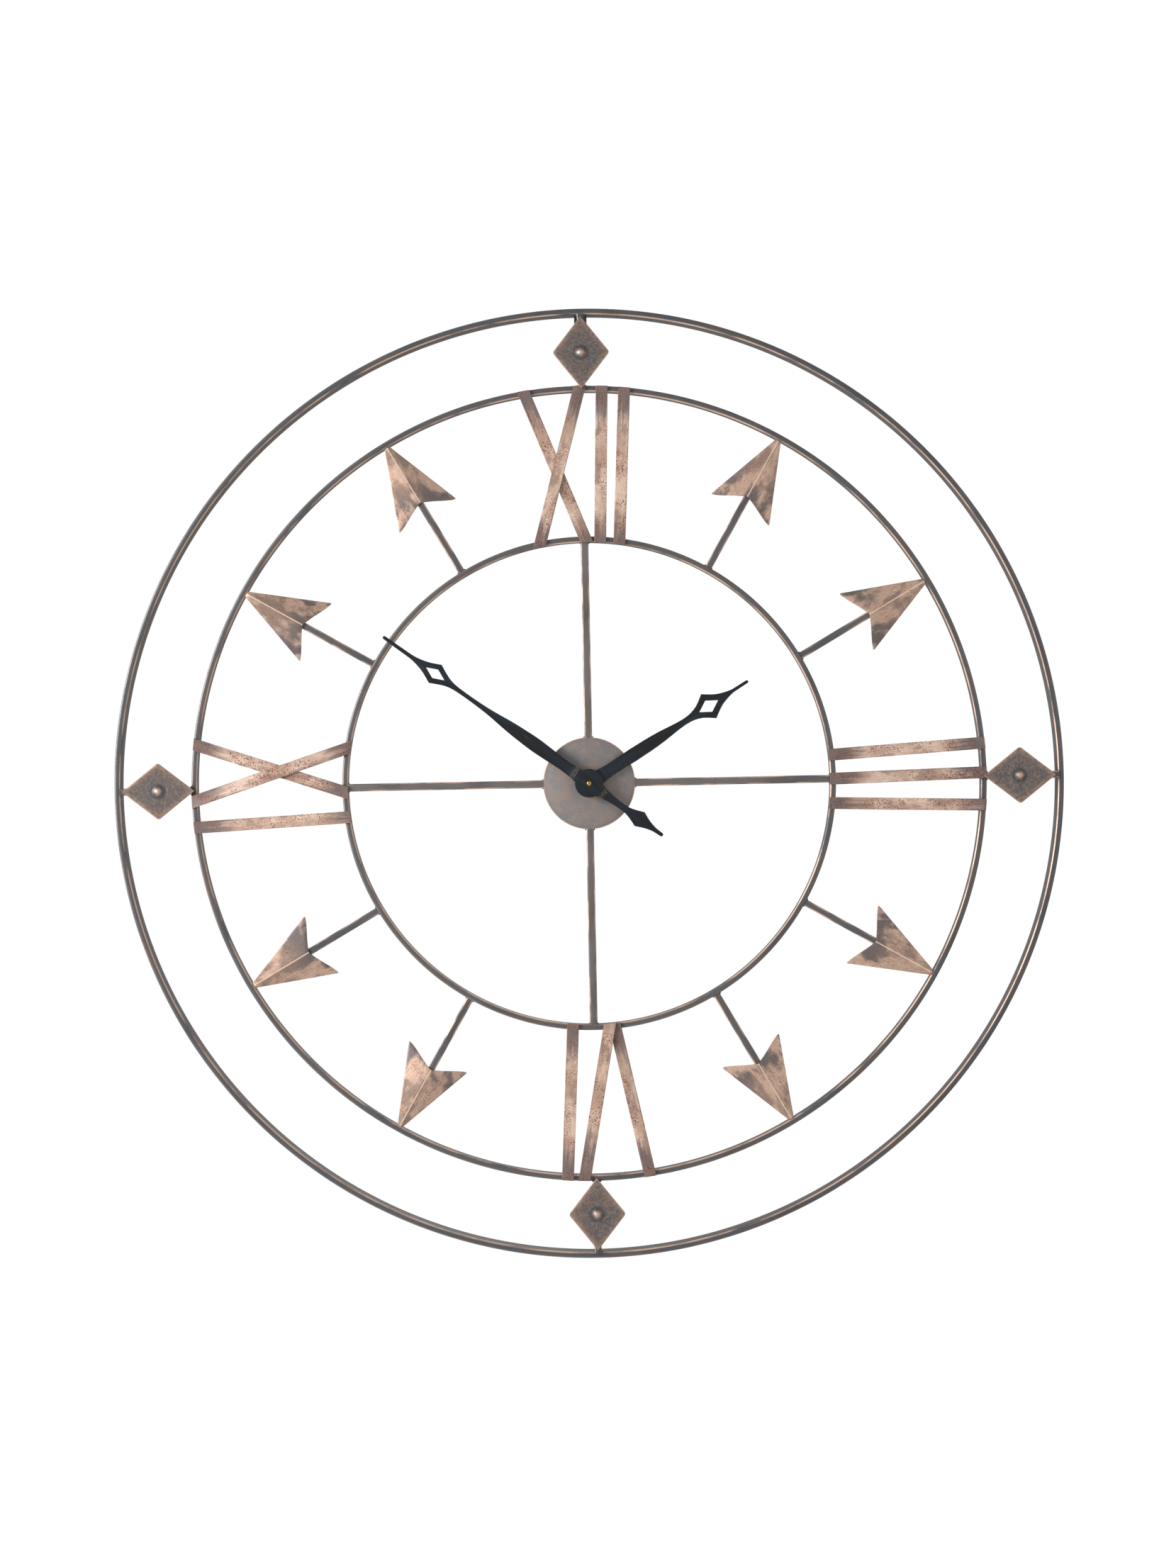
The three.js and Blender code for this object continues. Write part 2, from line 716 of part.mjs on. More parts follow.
const hourPhase = meshPhase(motionPinionTeeth, motionPhase, motionAxis.angle + Math.PI, hourTeeth);
const hourTubeBore = arborRadius + runGap;
const hourWheel = joined(
  gear(
    arborAxis,
    pinionShape(hourTeeth, hourModule, hourPhase, hourTubeBore),
    hourLayer,
    hourWheelThickness,
  ),
  collar(hourTubeBore, hourTubeRadius, tubeFront, hourLayer + 0.2),
);
addPiece("hour_wheel", hourWheel, "brass");

// setting knob on the back, whose pinion turns the motion wheel
const knobPhase = meshPhase(motionTeeth, motionPhase, knobAxis.angle, cannonTeeth);
const knobStemRadius = 1.2;
const knobFace = coverOutside + runGap;
const knobGrip = new THREE.Shape();
const knobRibs = 18;
for (let i = 0; i < 2 * knobRibs; i += 1) {
  const angle = (Math.PI * i) / knobRibs;
  const radius = knobRadius - (i % 2) * 0.5;
  knobGrip[i ? "lineTo" : "moveTo"](radius * Math.cos(angle), radius * Math.sin(angle));
}
const knobPinionFront = motionLayer - pinionReach;
const knobStemX = knobAxis.x;
const knobStemZ = knobAxis.z;
const settingKnob = joined(
  gear(knobAxis, knobGrip, knobFace, knobThickness),
  drum(knobStemRadius, knobPinionFront, knobFace + knobThickness / 2, 16, knobStemX, knobStemZ),
  gear(
    knobAxis,
    pinionShape(cannonTeeth, motionModule, knobPhase),
    knobPinionFront,
    hourWheelThickness + 2 * pinionReach,
  ),
);
addPiece("setting_knob", settingKnob, "whiteNylon");

// going train: third wheel, second wheel and rotor, each a wheel and pinion on a thin arbor
function trainWheel(axis, pinionLayer, wheelLayer, pinionPhase) {
  const pinion = gear(
    axis,
    pinionShape(trainPinionTeeth, trainModule, pinionPhase),
    pinionLayer - pinionReach,
    wheelLayer - pinionLayer + pinionReach + 0.2,
  );
  const wheel = gear(axis, fineWheelShape(trainTeeth, pinionPhase), wheelLayer, wheelThickness);
  const arbor = drum(pivotRadius, pivotEnd, coverPivotEnd, 10, axis.x, axis.z);
  return joined(pinion, wheel, arbor);
}
const thirdPhase = meshPhase(centreTeeth, 0, thirdAxis.angle, trainPinionTeeth);
addPiece("third_wheel", trainWheel(thirdAxis, centreLayer, thirdLayer, thirdPhase), "whiteNylon");
const secondPhase = meshPhase(trainTeeth, thirdPhase, secondAxis.angle, trainPinionTeeth);
addPiece("second_wheel", trainWheel(secondAxis, thirdLayer, secondLayer, secondPhase), "whiteNylon");

const magnetRadius = 2.8;
const magnetLength = 2.6;
const rotorPhase = meshPhase(trainTeeth, secondPhase, rotorAxis.angle, trainPinionTeeth);
const rotorPinion = gear(
  rotorAxis,
  pinionShape(trainPinionTeeth, trainModule, rotorPhase),
  secondLayer - pinionReach,
  rotorLayer - secondLayer + pinionReach + 0.2,
);
const magnet = drum(magnetRadius, rotorLayer, rotorLayer + magnetLength, 20, rotorAxis.x, rotorAxis.z);
const rotorArbor = drum(pivotRadius, pivotEnd, coverPivotEnd, 10, rotorAxis.x, rotorAxis.z);
addPiece("rotor", joined(rotorPinion, magnet, rotorArbor), "softIron");

// ---- stator, coil and circuit -------------------------------------------------------------

const statorThickness = 1;
const statorFront = rotorLayer + magnetLength / 2 - statorThickness / 2;
const coilX = 5.6 - pocketX;
const coreHalfWidth = 1.5;
const statorTop = pocketZ - 1.1;
const statorFoot = -1.5;
const statorBand = 4;
const stator = new THREE.Shape();
stator.moveTo(coilX - coreHalfWidth, statorFoot);
stator.lineTo(rotorAxis.x + 5.5, statorFoot);
stator.lineTo(rotorAxis.x + 5.5, statorTop);
stator.lineTo(coilX - coreHalfWidth, statorTop);
stator.lineTo(coilX - coreHalfWidth, statorTop - statorBand);
stator.lineTo(rotorAxis.x - 5.2, statorTop - statorBand);
stator.lineTo(rotorAxis.x - 5.2, statorFoot + statorBand);
stator.lineTo(coilX - coreHalfWidth, statorFoot + statorBand);
stator.holes.push(roundHole(rotorAxis.x, rotorAxis.z, magnetRadius + 2 * runGap));
const statorPlate = plate(stator, statorFront + statorThickness, statorThickness);
addPiece("stator", statorPlate, "softIron");

// the coil: a core that bridges the stator's two ends, with its winding on it
const coreThickness = 0.8;
const coreFront = statorFront + statorThickness + weldGap;
const coreMiddle = coreFront + coreThickness / 2;
const windingRadius = 1.9;
const winding = new THREE.CylinderGeometry(windingRadius, windingRadius, statorTop - statorFoot - 11, 16)
  .rotateX(Math.PI / 2)
  .translate(coilX, coreMiddle, (statorTop + statorFoot) / 2);
const core = box(
  coilX - coreHalfWidth,
  coilX + coreHalfWidth,
  coreFront,
  coreFront + coreThickness,
  statorFoot,
  statorTop,
);
addPiece("coil", joined(core, winding), "copperWire");

// the circuit board lies over the battery bay's wall, with a contact strip down each end of the bay
const contactX = cellLength / 2 + weldGap;
const contactThickness = 0.5;
const boardBack = coverInside - weldGap;
const boardFront = boardBack - 1;
const boardFoot = bayWall + weldGap;
const boardTop = statorFoot - 1.5;
const contact = (side) =>
  box(
    Math.min(side * contactX, side * (contactX + contactThickness)),
    Math.max(side * contactX, side * (contactX + contactThickness)),
    coverOutside - cellRadius - 4,
    boardBack,
    cellMiddleZ - 3,
    boardTop,
  );
const crystal = new THREE.CylinderGeometry(1, 1, 6, 12)
  .rotateZ(Math.PI / 2)
  .translate(8, boardFront - 0.7, (boardFoot + boardTop) / 2);
const chip = box(-7, -2, boardFront - 0.8, boardFront + 0.2, boardFoot + 1, boardTop - 0.8);
const board = box(-contactX - 0.1, contactX + 0.1, boardFront, boardBack, boardFoot, boardTop);
addPiece("circuit_board", joined(board, contact(1), contact(-1), crystal, chip), "circuitGreen");

// ---- case, cover and cell -----------------------------------------------------------------

const caseOutline = new THREE.Shape();
[[1, 1], [-1, 1], [-1, -1], [1, -1]].forEach(([sideX, sideZ], i) => {
  const x = sideX * (caseHalfWidth - caseCornerRadius);
  const z = sideZ * (caseHalfHeight - caseCornerRadius);
  caseOutline.absarc(x, z, caseCornerRadius, (i * Math.PI) / 2, ((i + 1) * Math.PI) / 2);
});

const pivotAxes = [thirdAxis, secondAxis, rotorAxis];
const socket = (axis, yFront, yBack) => drum(pivotRadius + 0.2, yFront, yBack, 10, axis.x, axis.z);
const contactSlots = [-1, 1].map((side) =>
  box(
    Math.min(side * (contactX - weldGap), side * pocketX),
    Math.max(side * (contactX - weldGap), side * pocketX),
    coverOutside - cellRadius - 4 - weldGap,
    coverOutside + 1,
    bayWall - caseWall - 1,
    bayWall + 1,
  ),
);
const caseShell = cutFrom(
  plate(caseOutline, coverInside, caseDepth),
  box(-pocketX, pocketX, floor, coverInside + 1, bayWall, pocketZ),
  box(-pocketX, pocketX, floor, coverInside + 1, -pocketZ, bayWall - caseWall),
  drum(bushRadius + weldGap, caseFront - 1, floor + 1),
  ...pivotAxes.map((axis) => socket(axis, floor - pivotSocketDepth, floor + 1)),
  ...contactSlots,
);
const motionPost = drum(
  motionBore - 0.15,
  floor - 0.3,
  motionLayer + hourWheelThickness + 0.5,
  12,
  motionAxis.x,
  motionAxis.z,
);
addPiece("movement_case", joined(caseShell, motionPost), "casePlastic");

// the cover closes the train chamber and leaves the battery bay open at the back
const coverOutline = box(
  caseCornerRadius / 2 - caseHalfWidth,
  caseHalfWidth - caseCornerRadius / 2,
  coverInside,
  coverOutside,
  bayWall - caseWall,
  caseHalfHeight,
);
const coverPlate = geometryOf(
  solidOf(plate(caseOutline, coverOutside, coverThickness)).intersect(solidOf(coverOutline)),
);
const backCover = cutFrom(
  coverPlate,
  ...pivotAxes.map((axis) => socket(axis, coverInside - 1, coverInside + pivotSocketDepth)),
  drum(knobStemRadius + runGap, coverInside - 1, coverOutside + 1, 16, knobAxis.x, knobAxis.z),
);
addPiece("back_cover", backCover, "casePlastic");

// AA cell lying along X in the bay
const nibLength = 1.2;
const nibRadius = 2.7;
const cellProfile = [
  [0, 0],
  [cellRadius - 0.6, 0],
  [cellRadius, 0.6],
  [cellRadius, cellLength - nibLength - 0.6],
  [cellRadius - 0.6, cellLength - nibLength],
  [nibRadius, cellLength - nibLength],
  [nibRadius, cellLength],
  [0, cellLength],
];
const cell = new THREE.LatheGeometry(
  cellProfile.map(([radius, along]) => new THREE.Vector2(radius, along)),
  24,
)
  .translate(0, -cellLength / 2, 0)
  .rotateZ(-Math.PI / 2)
  .translate(0, floor + weldGap + cellRadius, cellMiddleZ);
addPiece("battery_cell", cell, "cellJacket");

// ---- what clamps the movement to the disc -------------------------------------------------

const bushBore = hourTubeRadius + runGap;
const flangeFront = floor + weldGap;
const bush = turned(
  [
    [bushBore, bushFront],
    [bushRadius, bushFront],
    [bushRadius, flangeFront],
    [bushRadius + 1.8, flangeFront],
    [bushRadius + 1.8, flangeFront + bushFlange],
    [bushBore, flangeFront + bushFlange],
    [bushBore, bushFront],
  ],
  24,
);
addPiece("threaded_bush", bush, "brass");

const hexagon = new THREE.Shape();
for (let i = 0; i < 6; i += 1) {
  const angle = (Math.PI / 3) * i;
  const radius = nutAcrossFlats / Math.sqrt(3);
  hexagon[i ? "lineTo" : "moveTo"](radius * Math.cos(angle), radius * Math.sin(angle));
}
hexagon.holes.push(roundHole(0, 0, bushRadius + pressGap));
addPiece("hex_nut", plate(hexagon, front, nutThickness, 12), "brass");
addPiece(
  "rubber_washer",
  collar(bushRadius + weldGap, washerRadius, caseFront - washerThickness, caseFront),
  "rubber",
);

export default group;
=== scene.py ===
import json
import math

import bmesh
import bpy
from mathutils import Matrix, Vector

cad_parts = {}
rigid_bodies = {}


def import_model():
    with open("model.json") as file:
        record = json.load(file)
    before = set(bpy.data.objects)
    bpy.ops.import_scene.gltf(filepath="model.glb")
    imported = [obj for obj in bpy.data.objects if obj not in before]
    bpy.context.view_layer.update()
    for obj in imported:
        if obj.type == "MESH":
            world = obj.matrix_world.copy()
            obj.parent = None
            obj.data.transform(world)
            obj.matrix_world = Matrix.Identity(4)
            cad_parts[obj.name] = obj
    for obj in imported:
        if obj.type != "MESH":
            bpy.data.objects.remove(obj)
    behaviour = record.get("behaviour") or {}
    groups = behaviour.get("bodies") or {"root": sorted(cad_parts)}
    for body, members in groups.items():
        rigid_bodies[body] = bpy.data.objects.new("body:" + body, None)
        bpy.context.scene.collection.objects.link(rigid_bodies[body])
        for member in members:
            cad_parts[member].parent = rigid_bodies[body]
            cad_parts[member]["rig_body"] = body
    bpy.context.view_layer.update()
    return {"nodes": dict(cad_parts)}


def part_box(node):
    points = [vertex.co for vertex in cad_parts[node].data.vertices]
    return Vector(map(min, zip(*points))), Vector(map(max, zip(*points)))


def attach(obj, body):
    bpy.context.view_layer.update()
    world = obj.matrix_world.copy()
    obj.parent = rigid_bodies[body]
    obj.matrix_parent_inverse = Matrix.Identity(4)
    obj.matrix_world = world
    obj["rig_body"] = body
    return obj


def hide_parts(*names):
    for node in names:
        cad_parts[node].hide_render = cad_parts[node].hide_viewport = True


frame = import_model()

mm = 0.001
hours = {"quarters": (12, 3, 6, 9), "arrows": (1, 2, 4, 5, 7, 8, 10, 11)}
print("frame loaded:", len(frame["nodes"]), "nodes")


# small helpers

def hexColour(text):  # an sRGB hex value as linear RGBA
    channels = [int(text[i:i + 2], 16) / 255 for i in (1, 3, 5)]
    linear = [c / 12.92 if c <= 0.04045 else ((c + 0.055) / 1.055) ** 2.4 for c in channels]
    return (*linear, 1.0)


def addNode(tree, kind, inputs=None, **settings):
    # an input is a value, a socket or a node, whose first output in use is taken
    node = tree.nodes.new(kind)
    for name, value in settings.items():
        setattr(node, name, value)
    for key, value in (inputs or {}).items():
        named = [s for s in node.inputs if s.name == key and s.enabled]
        socket = node.inputs[key] if isinstance(key, int) else named[0]
        if isinstance(value, bpy.types.Node):
            value = [s for s in value.outputs if s.enabled][0]
        if isinstance(value, bpy.types.NodeSocket):
            tree.links.new(value, socket)
        else:
            socket.default_value = value
    return node


def turnedTo(hour):  # from twelve to an hour, clockwise on the dial
    return Matrix.Rotation(math.radians(hour * 30), 4, "Y")


def asObject(name, mesh, material=None):
    if material:
        mesh.materials.clear()
        mesh.materials.append(material)
    piece = bpy.data.objects.new(name, mesh)
    bpy.context.scene.collection.objects.link(piece)
    return piece


def place(piece, body, slotName, *nodes):
    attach(piece, body)
    if nodes:
        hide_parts(*nodes)
    return piece


def meshFrom(name, verts, faces, smoothAngle=None):
    mesh = bpy.data.meshes.new(name)
    mesh.from_pydata([Vector(v) * mm for v in verts], [], faces)
    mesh.update()
    return shadeSmooth(mesh, smoothAngle) if smoothAngle else mesh


def onDial(point, loop):  # across and up the dial
    return point.x, point.z


def bodyOf(node):
    return frame["nodes"][node]["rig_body"]


def edited(mesh, change):
    work = bmesh.new()
    work.from_mesh(mesh)
    change(work)
    work.to_mesh(mesh)
    work.free()
    return mesh


def fixOutward(mesh):
    return edited(mesh, lambda work: bmesh.ops.recalc_face_normals(work, faces=work.faces))


def shadeSmooth(mesh, sharpDegrees):
    mesh.shade_smooth()
    mesh.set_sharp_from_angle(angle=math.radians(sharpDegrees))
    return mesh


def quads(rows, count, start=0, closed=False):  # faces between rows of points that close round
    faces = []
    for k in range(rows if closed else rows - 1):
        a, b = start + k * count, start + (k + 1) % rows * count
        faces += [(a + i, a + (i + 1) % count, b + (i + 1) % count, b + i) for i in range(count)]
    return faces


def edgesOver(work, degrees):
    steep = math.radians(degrees)
    return [e for e in work.edges if e.is_manifold and e.calc_face_angle(0) > steep]


def bevelled(work, edges, offsetMm, segments, clamped=False):
    bmesh.ops.bevel(
        work, geom=edges, offset=offsetMm * mm, segments=segments, profile=0.5,
        affect="EDGES", clamp_overlap=clamped,
    )


softening = {"segments": 2, "sharpFromDegrees": 20, "flatWithinDegrees": 1, "smoothDegrees": 25}


def softened(node, bevelMm):  # a merged copy of a CAD node with its sharp edges broken
    flatWithin = math.radians(softening["flatWithinDegrees"])
    work = bmesh.new()
    work.from_mesh(frame["nodes"][node].data)
    bmesh.ops.remove_doubles(work, verts=work.verts, dist=2e-6)
    bmesh.ops.dissolve_limit(work, angle_limit=flatWithin, verts=work.verts, edges=work.edges)
    sharp = edgesOver(work, softening["sharpFromDegrees"])
    bevelled(work, sharp, bevelMm, softening["segments"], True)
    mesh = bpy.data.meshes.new(node + "_mesh")
    work.to_mesh(mesh)
    work.free()
    return shadeSmooth(mesh, softening["smoothDegrees"])


noEdgeMm = 60.0  # a half width so great that the finish finds no edge to rub


def setCoordinates(mesh, flatTo, half, reach, seed, lean=0.0, tone=0.0):
    # the piece's own millimetres (across, along) on each face corner, and for the finish its
    # half width and half length, a seed, how far the rubbed copper and its painted highlight
    # lean inwards, and how pale it is
    layer = mesh.uv_layers.new(name="local")
    for loop in mesh.loops:
        across, along = flatTo(mesh.vertices[loop.vertex_index].co / mm, loop)
        layer.data[loop.index].uv = (across, along)
    facts = {"half": half, "reach": reach, "seed": seed, "lean": lean, "tone": tone}
    for name, value in facts.items():
        attribute = mesh.attributes.new(name, "FLOAT", "POINT")
        attribute.data.foreach_set("value", [value] * len(mesh.vertices))
    return mesh


# finishes: those on the dial read the piece's own millimetres, so their grain keeps its real
# size. A look's clouds are noise masks: blot width and length in millimetres, the noise at
# which the mask starts and is full, then its shift, detail and roughness. Its coats lie on the
# ground in turn: a colour, how strong it is, and the masks that let it show.

def calc(tree, operation, *values):
    return addNode(tree, "ShaderNodeMath", dict(enumerate(values)), operation=operation)


def rising(tree, value, low, high, first=0.0, last=1.0):  # first up to low, last from high on
    return addNode(
        tree, "ShaderNodeMapRange",
        {"Value": value, "From Min": low, "From Max": high, "To Min": first, "To Max": last},
        interpolation_type="SMOOTHSTEP",
    )


def within(tree, distance, near, far):  # 1 up to near, falling to 0 at far
    return rising(tree, distance, near, far, 1.0, 0.0)


def product(tree, *factors):
    result = factors[0]
    for factor in factors[1:]:
        result = calc(tree, "MULTIPLY", result, factor)
    return result


def pointOf(tree, masks):  # the place on the piece as a vector
    return addNode(tree, "ShaderNodeCombineXYZ", {"X": masks["across"], "Y": masks["along"]})


def lengthOf(tree, vector):
    return addNode(tree, "ShaderNodeVectorMath", {0: vector}, operation="LENGTH").outputs["Value"]


def cloud(tree, surface, across, along, low, high, shift=0.0, detail=3.0, rough=0.55):
    u = calc(tree, "DIVIDE", surface["across"], across)
    v = calc(tree, "DIVIDE", surface["along"], along)
    w = calc(tree, "ADD", surface["seed"], shift)
    at = addNode(tree, "ShaderNodeCombineXYZ", {"X": u, "Y": v, "Z": w})
    noise = addNode(
        tree, "ShaderNodeTexNoise",
        {"Vector": at, "Scale": 1.0, "Detail": detail, "Roughness": rough},
    )
    return rising(tree, noise, low, high)


def masksOf(tree, look):  # the piece's own values and the look's clouds, by name
    uv = addNode(tree, "ShaderNodeUVMap", uv_map="local")
    split = addNode(tree, "ShaderNodeSeparateXYZ", {"Vector": uv})
    masks = {"across": split.outputs["X"], "along": split.outputs["Y"]}
    for name in ("half", "reach", "seed", "lean", "tone"):
        masks[name] = addNode(tree, "ShaderNodeAttribute", attribute_name=name).outputs["Fac"]
    masks["side"] = calc(tree, "ABSOLUTE", masks["across"])
    masks["far"] = calc(tree, "ABSOLUTE", masks["along"])
    masks["edge"] = calc(tree, "SUBTRACT", masks["half"], masks["side"])
    for name, numbers in look["clouds"].items():
        masks[name] = cloud(tree, masks, *numbers)
    return masks


def layered(tree, ground, *coats):  # each coat is a hex colour and the mask that shows it
    colour = addNode(tree, "ShaderNodeRGB")
    colour.outputs[0].default_value = hexColour(ground)
    for text, mask in coats:
        colour = addNode(
            tree, "ShaderNodeMix", {"Factor": mask, "A": colour, "B": hexColour(text)},
            data_type="RGBA",
        )
    return colour


def newTree(name):
    material = bpy.data.materials.new(name)
    material.use_nodes = True
    return material.node_tree


def finishOf(tree, name, colour, roughness, metallic, relief=None, reliefMm=0.0, **sockets):
    # roughness is a value, or a mask with the values where it is 0 and where it is 1
    shader = tree.nodes["Principled BSDF"]
    tree.links.new([s for s in colour.outputs if s.enabled][0], shader.inputs["Base Color"])
    if isinstance(roughness, tuple):
        mask, bare, full = roughness
        spread = addNode(
            tree, "ShaderNodeMapRange", {"Value": mask, "To Min": bare, "To Max": full}
        )
        tree.links.new(spread.outputs[0], shader.inputs["Roughness"])
    else:
        shader.inputs["Roughness"].default_value = roughness
    shader.inputs["Metallic"].default_value = metallic
    if relief:
        bump = addNode(
            tree, "ShaderNodeBump",
            {"Height": relief, "Strength": 1.0, "Distance": reliefMm * mm},
        )
        tree.links.new(bump.outputs[0], shader.inputs["Normal"])
    for socket, value in sockets.items():
        shader.inputs[socket.replace("_", " ")].default_value = value
    return bpy.data.materials[name]


def coatedFinish(tree, name, look, masks, **sockets):
    coats = []
    for text, strength, *shown in look["coats"]:
        coats.append((text, product(tree, *[masks[each] for each in shown], strength)))
    mask, bare, full = look["roughness"]
    relief, reliefMm = look["relief"]
    return finishOf(
        tree, name, layered(tree, look["ground"], *coats), (masks[mask], bare, full),
        look["metallic"], masks[relief], reliefMm, **sockets,
    )


slateLook = {
    "ground": "#444b52", "roughness": ("grain", 0.48, 0.34), "metallic": 0.45,
    "relief": ("marks", 0.02), "edgeInMm": 0.3, "softEdgeMm": (0.2, 1.7),
    "paintedHighlightMm": (0.25, 0.9), "paintedSideShadeMm": (-1.0, -0.4), "leanMm": (-1.6, 0.6), "leanLoss": 0.85,
    "clouds": {
        "brownPatch": (40, 90, 0.36, 0.66, 3), "softBrown": (9, 46, 0.3, 0.7, 17),
        "darkPatch": (20, 70, 0.46, 0.74, 11), "marks": (0.6, 11, 0.44, 0.7, 5, 3),
        "grain": (0.9, 1.6, 0.4, 0.7, 29, 4, 0.7), "ringBreak": (6, 42, 0.32, 0.58, 7, 4),
        "barBreak": (2.5, 24, 0.42, 0.64, 37, 4),
    },
    "coats": [
        ("#857b76", 0.6, "tone"), ("#5f5149", 0.9, "brownPatch", "softBrown"),
        ("#33373c", 0.6, "darkPatch"), ("#77716c", 0.14, "marks"), ("#5c544e", 0.22, "grain"),
        # the last two coats are painted shade on the bar's sides and a painted highlight on its edge
        ("#86695a", 0.8, "softEdge"), ("#4f4742", 0.7, "paintedSideShade"), ("#d2b39e", 0.8, "paintedHighlight"),
    ],
}


def slateIron():
    # mild steel bar, lacquered blue-grey and rubbed back along its edges to a copper wash:
    # slate in the middle, warm brown where the hand has rubbed it, a painted highlight as a bright
    # line on the rounded front edge, and painted shade darkening its sides
    look = slateLook
    tree = newTree("rubbedSlateIron")
    masks = masksOf(tree, look)
    outward = rising(tree, masks["across"], *look["leanMm"])
    leaning = product(tree, outward, masks["lean"])
    # the rubbed copper and the painted edge highlight both fade on a ring's outward side
    rubbedAndHighlit = calc(tree, "MULTIPLY_ADD", leaning, -look["leanLoss"], 1.0)
    broken = addNode(
        tree, "ShaderNodeMix",
        {"Factor": masks["lean"], "A": masks["barBreak"], "B": masks["ringBreak"]},
    )
    fromEdge = calc(
        tree, "ABSOLUTE", calc(tree, "SUBTRACT", masks["edge"], look["edgeInMm"])
    )
    # the first line is rubbed copper; the second is a painted highlight along the rounded edge
    for line in ("softEdge", "paintedHighlight"):
        nearEdge = within(tree, fromEdge, *look[line + "Mm"])
        masks[line] = product(tree, nearEdge, broken, rubbedAndHighlit)
    # painted shade: the faces down the bar's sides are darkened
    masks["paintedSideShade"] = within(tree, masks["edge"], *look["paintedSideShadeMm"])
    return coatedFinish(tree, "rubbedSlateIron", look, masks)


numeralLook = {
    "ground": "#a58978", "roughness": ("sponge", 0.62, 0.5), "metallic": 0.2,
    "relief": ("marks", 0.02), "wander": 0.24, "endShare": (0.56, 0.94), "edgeMm": (0.1, 0.9),
    "clouds": {
        "wander": (1.6, 34, 0.25, 0.75, 2, 3), "sponge": (16, 30, 0.36, 0.64, 9),
        "patch": (6, 9, 0.46, 0.62, 61, 4, 0.6), "marks": (0.5, 13, 0.42, 0.68, 5, 3),
        "freckleField": (15, 19, 0.42, 0.56, 31, 3), "shadow": (7, 15, 0.5, 0.66, 71, 3),
        "freckles": (0.9, 1.1, 0.56, 0.61, 41, 1.5), "blots": (1.3, 1.6, 0.62, 0.67, 47, 2),
        "pinholes": (0.55, 0.6, 0.62, 0.68, 57, 1), "edgeBreak": (2, 7, 0.35, 0.6, 13),
    },
    "coats": [
        ("#d0b7a6", 0.9, "sponge"), ("#75625a", 0.6, "shadow"), ("#957a6a", 0.3, "marks"),
        ("#65564f", 0.95, "ends"), ("#55565a", 0.7, "ends", "patch"),
        ("#79604f", 0.8, "edgeLine", "edgeBreak"), ("#86493b", 0.6, "pinholes"),
        ("#68281d", 0.9, "freckles", "freckleField"), ("#581f17", 0.9, "blots", "freckleField"),
    ],
}


def numeralWash():
    # flat steel bar under a pale copper-beige wash, sponged to slate at its ends and spattered
    # with oxide red: the pale middle and its red freckles read from across the room
    look = numeralLook
    tree = newTree("spatteredCopperWash")
    masks = masksOf(tree, look)
    share = calc(tree, "DIVIDE", masks["far"], masks["reach"])
    shifted = calc(tree, "MULTIPLY_ADD", masks["wander"], look["wander"], share)
    masks["ends"] = rising(tree, shifted, *look["endShare"])
    masks["edgeLine"] = within(tree, masks["edge"], *look["edgeMm"])
    return coatedFinish(tree, "spatteredCopperWash", look, masks)


arrowLook = {
    "ground": "#a88b7a", "roughness": ("brushed", 0.5, 0.38), "metallic": 0.65,
    "relief": ("brushed", 0.03), "halfSpanMm": 28.4, "lengthMm": 66.0, "tipHalfMm": 2.0,
    "notchMm": (12, 34), "barbMm": (6, 22), "ridgeHighlightMm": (0.25, 0.75), "rimMm": (0.3, 2.0),
    "clouds": {
        "brushed": (0.45, 7, 0.4, 0.66, 5, 5, 0.7), "patch": (13, 22, 0.42, 0.58, 2, 4),
        "scuff": (1.0, 3.2, 0.34, 0.68, 17, 6, 0.75), "freckleField": (14, 14, 0.46, 0.62, 31, 2),
        "freckles": (0.8, 1.0, 0.58, 0.64, 41, 1.5),
    },
    "coats": [
        ("#d3b5a1", 0.7, "brushed"), ("#6a5b53", 0.55, "patch"),
        # slate near the notch carries painted shade; the pale ridge coat is a painted highlight
        ("#6e5d54", 0.6, "patch", "scuff"), ("#4d5157", 0.6, "notch", "patch"),
        ("#5d5a5a", 0.75, "barb", "patch", "scuff"), ("#957666", 0.7, "rim", "scuff"),
        ("#e0c3ad", 0.85, "ridge"), ("#632d23", 0.75, "freckles", "freckleField"),
    ],
}


def arrowWash():
    # the same wash on folded sheet, dry-brushed towards the tip: slate on the wings, slate and
    # painted shade towards the notch, a painted highlight along the fold, copper on the points
    look = arrowLook
    tree = newTree("brushedCopperWash")
    masks = masksOf(tree, look)
    # slate near the notch, with painted shade
    masks["notch"] = within(tree, masks["along"], *look["notchMm"])
    masks["barb"] = rising(tree, masks["side"], *look["barbMm"])
    # painted highlight along the fold of the ridge
    masks["ridge"] = within(tree, masks["side"], *look["ridgeHighlightMm"])
    slope = look["halfSpanMm"] / look["lengthMm"]
    atTip = look["lengthMm"] * slope + look["tipHalfMm"]
    halfHere = calc(tree, "MULTIPLY_ADD", masks["along"], -slope, atTip)
    fromRim = calc(tree, "SUBTRACT", halfHere, masks["side"])
    masks["rim"] = within(tree, fromRim, *look["rimMm"])
    return coatedFinish(tree, "brushedCopperWash", look, masks)


